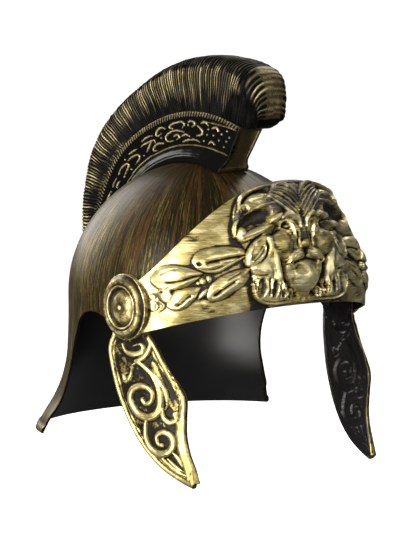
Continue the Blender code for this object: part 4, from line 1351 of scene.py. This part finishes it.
    def build(self) -> bpy.types.Object:
        """Build the shell as one closed body, black inside."""
        outside = self.shell_points()
        normal = outward(outside, outside - np.array([0.0, 0.0, -0.12]))
        normal[-1] = (0.0, 0.0, 1.0)
        normal[:, -1] = normal[:, 0] = (normal[:, 0] + normal[:, -1]) / 2.0
        height = self.relief(outside)
        height[-1] = height[-2].mean()
        worn = np.clip(0.5 + 0.55 * (height - blurred(height, 3)) + 0.1 * height, 0.0, 1.0)
        # Lighter on the sides behind the face, a painted highlight; darker over the top of the dome.
        worn += 0.16 * ease((np.abs(outside[..., 0]) - 0.062) / 0.03) * ease((outside[..., 1] + 0.02) / 0.04)
        worn -= 0.14 * ease((outside[..., 2] + 0.035) / 0.03)
        turn = np.arctan2(outside[..., 0], -outside[..., 1])
        climb = run_length(outside[:, 0])[:, None] + 0.0 * turn
        trace = np.stack([self.map_radius * np.sin(turn), self.map_radius * np.cos(turn), climb], axis=-1)
        outer = Sheet(outside + normal * (height * MM)[..., None], worn, trace, np.zeros_like(worn))
        pick = spaced(len(worn) - 1, self.inner_rows)
        bare = np.full_like(worn[pick], BARE_TONE)
        inner = Sheet((outside - normal * WALL)[pick], bare, trace[pick], np.ones_like(bare))
        skull = self._shell(outer, inner)
        tools = [(self.opening(), "DIFFERENCE")] + [(self.lug(side), "UNION") for side in Side]
        for tool, kind in tools:
            step = skull.modifiers.new(tool.name, "BOOLEAN")
            step.object, step.operation, step.solver = tool, kind, "EXACT"
            apply_modifiers(skull)
            bpy.data.objects.remove(tool)
        skull.data.set_sharp_from_angle(angle=math.radians(SMOOTH_ANGLE))
        skull.data.materials.clear()
        return skull

    def dress(self, made: bpy.types.Object) -> None:
        """Paint the piece and put it in the place of its CAD node."""
        coat(made, self.paint, BLACK_PLASTIC)
        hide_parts("skull")
        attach(made, "shell")

    @staticmethod
    def _shell(outer: Sheet, inner: Sheet) -> bpy.types.Object:
        """Return the closed shell between an outside and an inside that both run from hem to apex."""
        parts = []
        for name in ("points", "wear", "trace", "inside"):
            out, back = getattr(outer, name), getattr(inner, name)
            parts.append(np.concatenate([out, back[::-1], out[:1]], axis=0))
        return Sheet(*parts).to_object("skull_shell")


CREST_CENTRE = np.array([0.0, 0.0085, -0.076])
CREST_RADIUS = 0.1115
CREST_ROWS = (
    (7, 1, 0.19, 0), (20, 1, 0.37, 0), (29, 1, 0.50, 0), (38, 1.002, 0.61, 0), (49, 1.002, 0.67, 0),
    (60, 0.997, 0.72, 0), (71, 0.997, 0.79, 0), (83, 1.012, 0.91, 0), (95, 1.036, 1.02, 0),
    (107, 1.065, 1.11, 0), (115, 1.087, 1.16, 0), (120, 1.104, 1.14, 0), (123, 1.114, 1.02, 0),
    (125.4, 1.121, 0.80, 0.05), (127.2, 1.128, 0.50, 0.13), (128.2, 1.132, 0.22, 0.22),
)


def crest_column(angle: Array, column: int) -> Array:
    """Read a column of the crest's table at angles in degrees from the back."""
    table = np.array(CREST_ROWS)
    return table_line(table[:, 0], table[:, column], angle)


def crest_place(angle: Array, radius: Array, x: Array) -> Array:
    """Return points at an angle in degrees and a radius round the crest's centre, x off the midline."""
    turn = np.radians(angle)
    x, y, z = np.broadcast_arrays(x, radius * np.cos(turn), radius * np.sin(turn))
    return np.stack([x, y, z], axis=-1) + CREST_CENTRE


SCROLLS: tuple[Path, ...] = (
    [(54.9, 100.3), (58.8, 100.5), (63.1, 100)],
    [(57, 96), (60, 96.8), (63.5, 96)],
    [(66.4, 99.9), (71.3, 100.6), (76.4, 99.9), (80.7, 98), (80.9, 96.1), (75.7, 94.9), (69.1, 93.9)],
    [(87.4, 102), (92, 101.4), (96.5, 100.4)],
    [(83.2, 99.2), (88.7, 98.4), (95.5, 96.3), (96.4, 93.9), (92.7, 92.2), (87.8, 91.8)],
    [(105.6, 102.4), (110.9, 102.9), (118.3, 102)],
    [(102.3, 99.2), (105.4, 99.4), (112.7, 98.9), (119.7, 98), (119.9, 95.8)],
    [(115.6, 98), (111.2, 95.6), (106.9, 93.3)],
    [(129.5, 92.3), (122.5, 94), (117, 93.1), (115, 91), (119.6, 89.8)],
    [(134.2, 102.5), (131, 104), (126.3, 103.7), (122.8, 101), (125.2, 99.3), (129, 99.9)],
    [(148.2, 104), (142.8, 103.6), (139.6, 101.9), (143.2, 100.2)],
    [(148.2, 103.8), (153.1, 104), (156.4, 101.8), (154.3, 99.3)],
    [(155.2, 96.3), (147.2, 98.2), (139.9, 98.1), (133.7, 96), (135.4, 92.4), (142.7, 91.1)],
    [(143.5, 94.3), (147.7, 95), (150.3, 92.8), (146.5, 91.4)],
    [(153.7, 93.3), (158.3, 94), (162.3, 92.5)],
    [(154.2, 88.9), (161, 89.8), (169, 90), (174.9, 88.6)],
    [(160.9, 103.3), (165, 104), (167.7, 101.5), (165, 99.4)],
    [(170.6, 100.8), (174, 98.9), (176.5, 96.5), (175.5, 94.1), (170.6, 93)],
    [(174.5, 103), (178.4, 104.1), (181.8, 102.2)],
    [(185.3, 88.6), (187.8, 90.9), (191.7, 89.4)],
    [(186, 100.9), (189.8, 102.6), (192.6, 100.5)],
)
DOTS: Path = [
    (80.7, 102.2), (81.3, 91.9), (101.9, 92.2), (128, 97), (160.4, 101), (182.2, 99.3), (179.1, 89.8),
    (181.8, 95.1), (196.2, 99.3), (200.3, 103.4), (202.4, 95.8), (201.7, 90.8), (188.4, 96.2), (34.7, 102.2),
    (35.3, 91.9), (53, 92), (195, 94), (204, 99.6),
]


@dataclass
class CrestBox:
    """The holder of the plume: a curved box on the crown with gilded scrolls on its sides."""

    half_width: float = 0.0118
    foot_half_width: float = 0.0145
    back_angle: float = 9.0
    front_angle: float = 122.0
    columns: int = 500
    side_rows: int = 60
    paint: Paint = BLACK_GILT
    foot_gap: float = 0.0006
    band_top: float = 111.5
    map_radius: float = 0.098
    panel_girth: float = 0.095
    section: tuple = (
        (1.229, 0), (1.225, 0.055), (1.20, 0.105), (1.13, 0.135), (1.03, 0.165), (0.955, 0.215),
        (0.90, 0.25), (0.86, 0.30), (0.875, 0.36), (0.90, 0.45), (0.93, 0.60), (0.96, 0.80), (1, 0.985),
        (0.985, 1),
    )

    def foot(self, angle: Array, x: float) -> Array:
        """Return the radius at which rays at angles, offset by x, leave the skull."""
        low, high = np.zeros_like(angle), np.full_like(angle, 2.0 * CREST_RADIUS)
        for _ in range(40):
            middle = (low + high) / 2.0
            point = crest_place(angle, middle, x)
            ahead = np.abs(point[..., 1])
            beside, along = abs(x) / SKULL_HALF_WIDTH, ahead / SKULL_HALF_LENGTH
            plan = beside**PLAN_FULLNESS + along**PLAN_FULLNESS
            reach = np.minimum(plan, 1.0) ** (1.0 / PLAN_FULLNESS)
            top = (CROWN_DEPTH + WALL) * (1.0 - reach**DOME_FULLNESS) ** (1.0 / DOME_FULLNESS)
            inside = (point[..., 2] < PIVOT[2] + top) & (ahead < SKULL_HALF_LENGTH)
            low, high = np.where(inside, middle, low), np.where(inside, high, middle)
        return low + self.foot_gap

    @staticmethod
    def carve(board: Board) -> None:
        """Carve one side: ticks under the plume, a band of scrolls and a line below it."""
        for place in 13.5 + 2.6 * np.arange(78):
            tick = [(place, 107.9), (place + 0.35, 109.4), (place + 0.9, 110.9)]
            board.strand(tick, 0.55, 0.62, ends=(0.9, 0.7))
        board.strand([(12, 88.9), (104, 88.2), (150, 86.6), (183, 85.6), (212, 86)], 0.65, 0.8,
                     ends=(1, 1))
        board.strand([(176, 104.6), (185, 104.9), (194, 105.8), (203, 107.2), (211, 108)], 0.6, 0.8,
                     ends=(0.5, 1))
        again = [[(x + shift, y) for x, y in path if x + shift > 11] for shift in (-46, -60.5)
                 for path in SCROLLS[2:5]]
        for path in [*SCROLLS, *again]:
            board.strand(path, 0.85, 1, ends=(0.75, 0.6))
        for place in DOTS:
            board.mound(place, (0.85, 0.85), 0.9)

    def build(self) -> bpy.types.Object:
        """Build the box as one closed body."""
        angle = np.linspace(self.back_angle, self.front_angle, self.columns + 1)
        top = crest_column(angle, 1) * CREST_RADIUS
        low, side = self.foot(angle, 0.0), self.foot(angle, self.foot_half_width)
        out, up = section_rows(self.section, self.side_rows, 0.4)
        radius = side + up * (top - side)
        run = np.radians(angle) * self.map_radius
        board = Board(np.broadcast_to(run / MM, radius.shape).copy(), self.band_top + (radius - top) / MM,
                      fillet=0.3)
        self.carve(board)
        end = ease(np.minimum(angle - self.back_angle, self.front_angle - angle) / 1.5)
        flat = ease((up - 0.24) / 0.06) * ease((1.0 - up) / 0.02)
        board.height *= end * flat
        board.height += 0.05 * ripple(board.x, board.y, 8.0, 12)
        worn = np.clip(0.14 + 0.86 * board.height, 0.0, 1.0)
        # Painted highlight: a bright line along the foot's roll, fading out towards the front.
        worn += 0.30 * bell(up - 0.20, 0.06) * ease((140.0 - board.x) / 70.0)
        worn += 0.30 * bell(up - 0.99, 0.02)
        left = crest_place(angle, radius, out * self.half_width + board.height * MM)
        mirror = left[::-1] * np.array([-1.0, 1.0, 1.0])
        under = crest_place(angle, low, 0.0)[None]
        crown = crest_place(angle, top, 0.0)[None]
        bare = worn[:1] * 0.0 + BARE_TONE
        points = np.concatenate([under, left, crown, mirror, under], axis=0)
        worn = np.concatenate([bare, worn, bare, worn[::-1], bare], axis=0)
        sheet = Sheet(points, worn, ring_trace(run, self.panel_girth, worn.shape), worn * 0.0)
        return sheet.panelled().to_object("crest_box_gilded")

    def dress(self, made: bpy.types.Object) -> None:
        """Paint the piece and put it in the place of its CAD node."""
        coat(made, self.paint)
        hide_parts("crest_box")
        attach(made, "shell")


@dataclass
class Plume:
    """The stiff moulded plume, its strands running from the box to its outer edge."""

    depth: float = 0.040
    half_width: float = 0.0185
    columns: int = 1176
    side_rows: int = 24
    girth: float = 0.09
    pitch: float = 2.8
    front_pitch: float = 4.6
    cut: float = 1.25
    gap_depth: float = 1.4
    tuft_length: float = 41.5
    paint: Paint = PLUME_GILT
    section: tuple = (
        (0.66, 0), (0.72, 0.08), (0.78, 0.18), (0.84, 0.30), (0.91, 0.44), (0.965, 0.56), (1, 0.67),
        (0.985, 0.77), (0.92, 0.85), (0.82, 0.91), (0.68, 0.955), (0.50, 0.98), (0.25, 0.995), (0, 1),
    )

    def build(self) -> bpy.types.Object:
        """Build the plume as one closed body."""
        first, last = CREST_ROWS[0][0], CREST_ROWS[-1][0]
        angle = self._even_angles(first, last)
        root = crest_column(angle, 1) * CREST_RADIUS + PLAY + crest_column(angle, 3) * self.depth
        deep = crest_column(angle, 2) * self.depth
        run = run_length(crest_place(angle, root + deep, 0.0)) / MM
        out, up = section_rows(self.section, self.side_rows, 0.6)
        front = ease((angle - 112.0) / 14.0)
        slim = 1.0 - 0.28 * ease((angle - 119.0) / 9.2)
        side, tone, grey = [], [], []
        for sign, seed in ((1.0, 5), (-1.0, 8)):
            ridge, lit, grey_and_shade = self._strands(run, up, front, seed)
            x = sign * out * self.half_width * slim - sign * ridge * MM * 0.9 * (out > 0.3)
            radius = root + up * deep - ridge * MM * 0.8 * ease((up - 0.5) / 0.4)
            side.append(crest_place(angle, radius, x))
            tone.append(lit)
            grey.append(grey_and_shade)
        points, worn, grey_and_shade = (np.concatenate([near, far[:-1][::-1], near[:1]], axis=0)
                              for near, far in (side, tone, grey))
        trace = ring_trace(run * MM, self.girth, worn.shape)
        return Sheet(points, worn, trace, worn * 0.0, grey_and_shade).to_object("crest_plume_strands")

    def dress(self, made: bpy.types.Object) -> None:
        """Paint the piece and put it in the place of its CAD node."""
        coat(made, self.paint)
        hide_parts("crest_plume")
        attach(made, "shell")

    def _even_angles(self, first: float, last: float) -> Array:
        """Return angles at even steps along the plume's outer edge."""
        angle = np.linspace(first, last, 4000)
        radius = crest_column(angle, 1) * CREST_RADIUS
        radius = radius + (crest_column(angle, 2) + crest_column(angle, 3)) * self.depth
        run = run_length(crest_place(angle, radius, 0.0))
        return np.interp(np.linspace(0.0, run[-1], self.columns + 1), run, angle)

    def _strands(self, run: Array, up: Array, front: Array, seed: int) -> tuple[Array, Array, Array]:
        """Return what the strands do to the surface.

        Args:
            run: Place of each column along the outer edge, in millimetres.
            up: Height of each row, from the box (0) to the outer edge (1).
            front: Share of each column that belongs to the front end.
            seed: Seed of the side's own random draws.

        Returns:
            How deep the surface is cut, in millimetres, where gold is rubbed on together with the painted
            highlights on the strands, and where the top is greyed.
        """
        rng = np.random.default_rng(seed)
        to_end = run - run[-1]
        pitch = self.pitch + (self.front_pitch - self.pitch) * ease((to_end + 44.0) / 6.0)
        count = np.concatenate([[0.0], np.cumsum(np.diff(run) / pitch[1:])])
        lean = 1.5 * (up - 0.5) * (1.0 - front) - 1.4 * (1.0 - up) ** 2 * front
        wobble = 0.22 * ripple(run[None, :], up * 30.0, 15.0, seed)
        phase = count[None, :] + lean / self.pitch + wobble
        number = np.floor(phase).astype(int)
        number -= number.min()
        within = (phase - np.floor(phase)) * 2.0 - 1.0
        sunk = rng.uniform(0.0, 0.40, number.max() + 1)[number]
        length = rng.uniform(-0.09, 0.09, number.max() + 1)[number]
        shine = rng.uniform(0.62, 1.15, number.max() + 1)[number]
        body = 1.0 - np.abs(within) ** 1.35
        past = to_end + self.tuft_length - 24.0 * (0.85 - up)
        gap = bell(past, 3.2) * ease((0.96 - up) / 0.06)
        tuft = ease((past - 1.5) / 2.0)
        hollow = np.maximum(gap, ease((to_end + 56.0) / 12.0) * ease((0.62 - up) / 0.25))
        crown = ease((up - 0.945) / 0.045) * tuft
        depth = (self.cut * (1.0 - body) + sunk * body) * (1.0 - 0.8 * crown) * ease((up + 0.15) / 0.2)
        depth += self.gap_depth * hollow
        # Painted highlight: strands are lit brightest in a band below the shoulder, at their roots towards
        # the back and along the top towards the back; on the front tuft the band lies in its upper half.
        side = ease((up + 1.6 * length + 0.02) / 0.50) * ease((0.85 - up - 0.35 * length) / 0.05)
        root_highlight = 0.8 * ease((0.14 - up + 0.5 * length) / 0.10) * ease((150.0 - run) / 60.0)
        rim = 0.55 * ease((up - 0.93) / 0.05) * ease((130.0 - run) / 60.0)
        highlight_zone = np.maximum(np.maximum(side, root_highlight), np.maximum(rim, 0.62 * ease((up - 0.84) / 0.03)))
        bright = ease((up - 0.55) / 0.2) * (1.0 - 0.6 * ease((up - 0.985) / 0.01))
        highlight_zone += (bright - highlight_zone) * tuft
        lit = -0.06 + body**1.2 * (0.05 + 0.95 * highlight_zone * shine) * (1.0 - hollow)
        lit += (0.58 + 0.16 * body * shine - lit) * crown
        # The plume's top, above the shoulder and off the front tuft, is greyed.
        grey_and_shade = ease((up - 0.82) / 0.05) * (1.0 - tuft)
        return depth, lit, np.broadcast_to(grey_and_shade, lit.shape)


@dataclass
class Studio:
    """A pale floor and backdrop under soft lights, and a camera at the photograph's angle."""

    azimuth: float = -40.0
    elevation: float = 6.5
    distance: float = 1.7
    focal: float = 148.3
    shift_right: float = -0.02654
    shift_up: float = 0.0121
    floor_drop: float = -0.36
    floor_reach: float = 3.0
    sweep: float = 0.8
    backdrop: float = 3.6
    target: tuple[float, float, float] = (0.0, -0.0515, -0.096)
    sensor: float = 36.0
    paper: Paper = WHITE_PAPER
    sky: tuple[float, float, float, float] = (0.96, 0.98, 1.0, 1.0)
    sky_strength: float = 0.10
    lamp_colour: tuple[float, float, float] = (1.0, 0.975, 0.92)
    lights: tuple = (
        ("key", (-0.95, 0.40, 1.05), 31.0, 1.0),
        ("fill", (1.25, 0.35, 0.75), 4.0, 0.8),
        ("front", (0.45, 0.20, 1.45), 5.0, 0.9),
        ("bounce", (-0.60, -0.46, 0.62), 8.0, 0.70),
        ("top", (0.35, 1.15, -0.75), 9.0, 0.8),
        ("rim", (-0.95, 0.70, -1.00), 12.0, 0.9),
    )

    def axes(self) -> tuple[Vector, Vector, Vector]:
        """Return the camera's right, up and back directions."""
        turn, tilt = math.radians(self.azimuth), math.radians(self.elevation)
        back = Vector((math.sin(turn) * math.cos(tilt), -math.cos(turn) * math.cos(tilt), math.sin(tilt)))
        right = Vector((math.cos(turn), math.sin(turn), 0.0))
        return right, back.cross(right), back

    def build(self) -> bpy.types.Object:
        """Build the floor, which sweeps up into a backdrop behind the object."""
        right, _, back = self.axes()
        away = Vector((-back.x, -back.y, 0.0)).normalized()
        reach, bend, sweep = self.floor_reach, 0.6 * self.floor_reach, self.sweep
        line = [(-reach, 0.0), (bend, 0.0)]
        for step in range(1, 13):
            turn = math.pi / 2.0 * step / 12.0
            line.append((bend + sweep * math.sin(turn), sweep - sweep * math.cos(turn)))
        line.append((bend + sweep, self.backdrop))
        bm = bmesh.new()
        verts = [bm.verts.new(away * out - right * reach + Vector((0.0, 0.0, self.floor_drop + rise)))
                 for out, rise in line]
        edges = [bm.edges.new(pair) for pair in zip(verts, verts[1:])]
        move_new(bm, bmesh.ops.extrude_edge_only(bm, edges=edges), right * 2.0 * reach)
        bmesh.ops.recalc_face_normals(bm, faces=bm.faces[:])
        floor = max(bm.faces, key=lambda face: face.calc_area())
        if floor.normal.z < 0.0:
            bmesh.ops.reverse_faces(bm, faces=bm.faces[:])
        mesh = bpy.data.meshes.new("floor")
        bm.to_mesh(mesh)
        bm.free()
        mesh.shade_smooth()
        return linked("floor", mesh)

    def dress(self, made: bpy.types.Object) -> None:
        """Give the floor its paper, and add the lights and the camera."""
        made.data.materials.append(self.paper.material())
        made.visible_glossy = made.visible_diffuse = False
        world = bpy.data.worlds.new("studio")
        world.use_nodes = True
        background = world.node_tree.nodes["Background"]
        background.inputs["Color"].default_value = self.sky
        background.inputs["Strength"].default_value = self.sky_strength
        bpy.context.scene.world = world
        bpy.context.scene.view_settings.view_transform = "Standard"
        for light in self.lights:
            self._light(*light)
        self._camera()

    def _light(self, name: str, offset: tuple[float, float, float], power: float, size: float) -> None:
        """Add a soft light, its offset along the camera's right, the vertical and the camera's back."""
        right, _, back = self.axes()
        target = Vector(self.target)
        place = target + right * offset[0] + Vector((0.0, 0.0, offset[1])) + back * offset[2]
        lamp = bpy.data.lights.new(name, "AREA")
        lamp.energy, lamp.size = power, size
        lamp.color = self.lamp_colour
        made = linked(name, lamp)
        made.location = place
        made.rotation_euler = (target - place).to_track_quat("-Z", "Y").to_euler()

    def _camera(self) -> None:
        """Add the camera and make it the scene's."""
        right, up, back = self.axes()
        lens = bpy.data.cameras.new("camera")
        lens.lens, lens.sensor_width = self.focal, self.sensor
        made = linked("camera", lens)
        turn = Matrix((right, up, back)).transposed().to_4x4()
        place = Vector(self.target) + back * self.distance + right * self.shift_right + up * self.shift_up
        made.matrix_world = Matrix.Translation(place) @ turn
        bpy.context.scene.camera = made


def main() -> None:
    """Build and dress every piece, logging its count of triangles, then the studio."""
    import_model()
    pieces = (Skull(), BrowPlate(), CheekGuard(Side.RIGHT), CheekGuard(Side.LEFT), CrestBox(), Plume(),
              Boss(Side.RIGHT), Boss(Side.LEFT))
    for piece in pieces:
        made = piece.build()
        piece.dress(made)
        made.data.calc_loop_triangles()
        LOG.info("%s: %d triangles", made.name, len(made.data.loop_triangles))
    studio = Studio()
    studio.dress(studio.build())


if __name__ == "__main__":
    logging.basicConfig(level=logging.INFO, format="%(message)s")
    main()
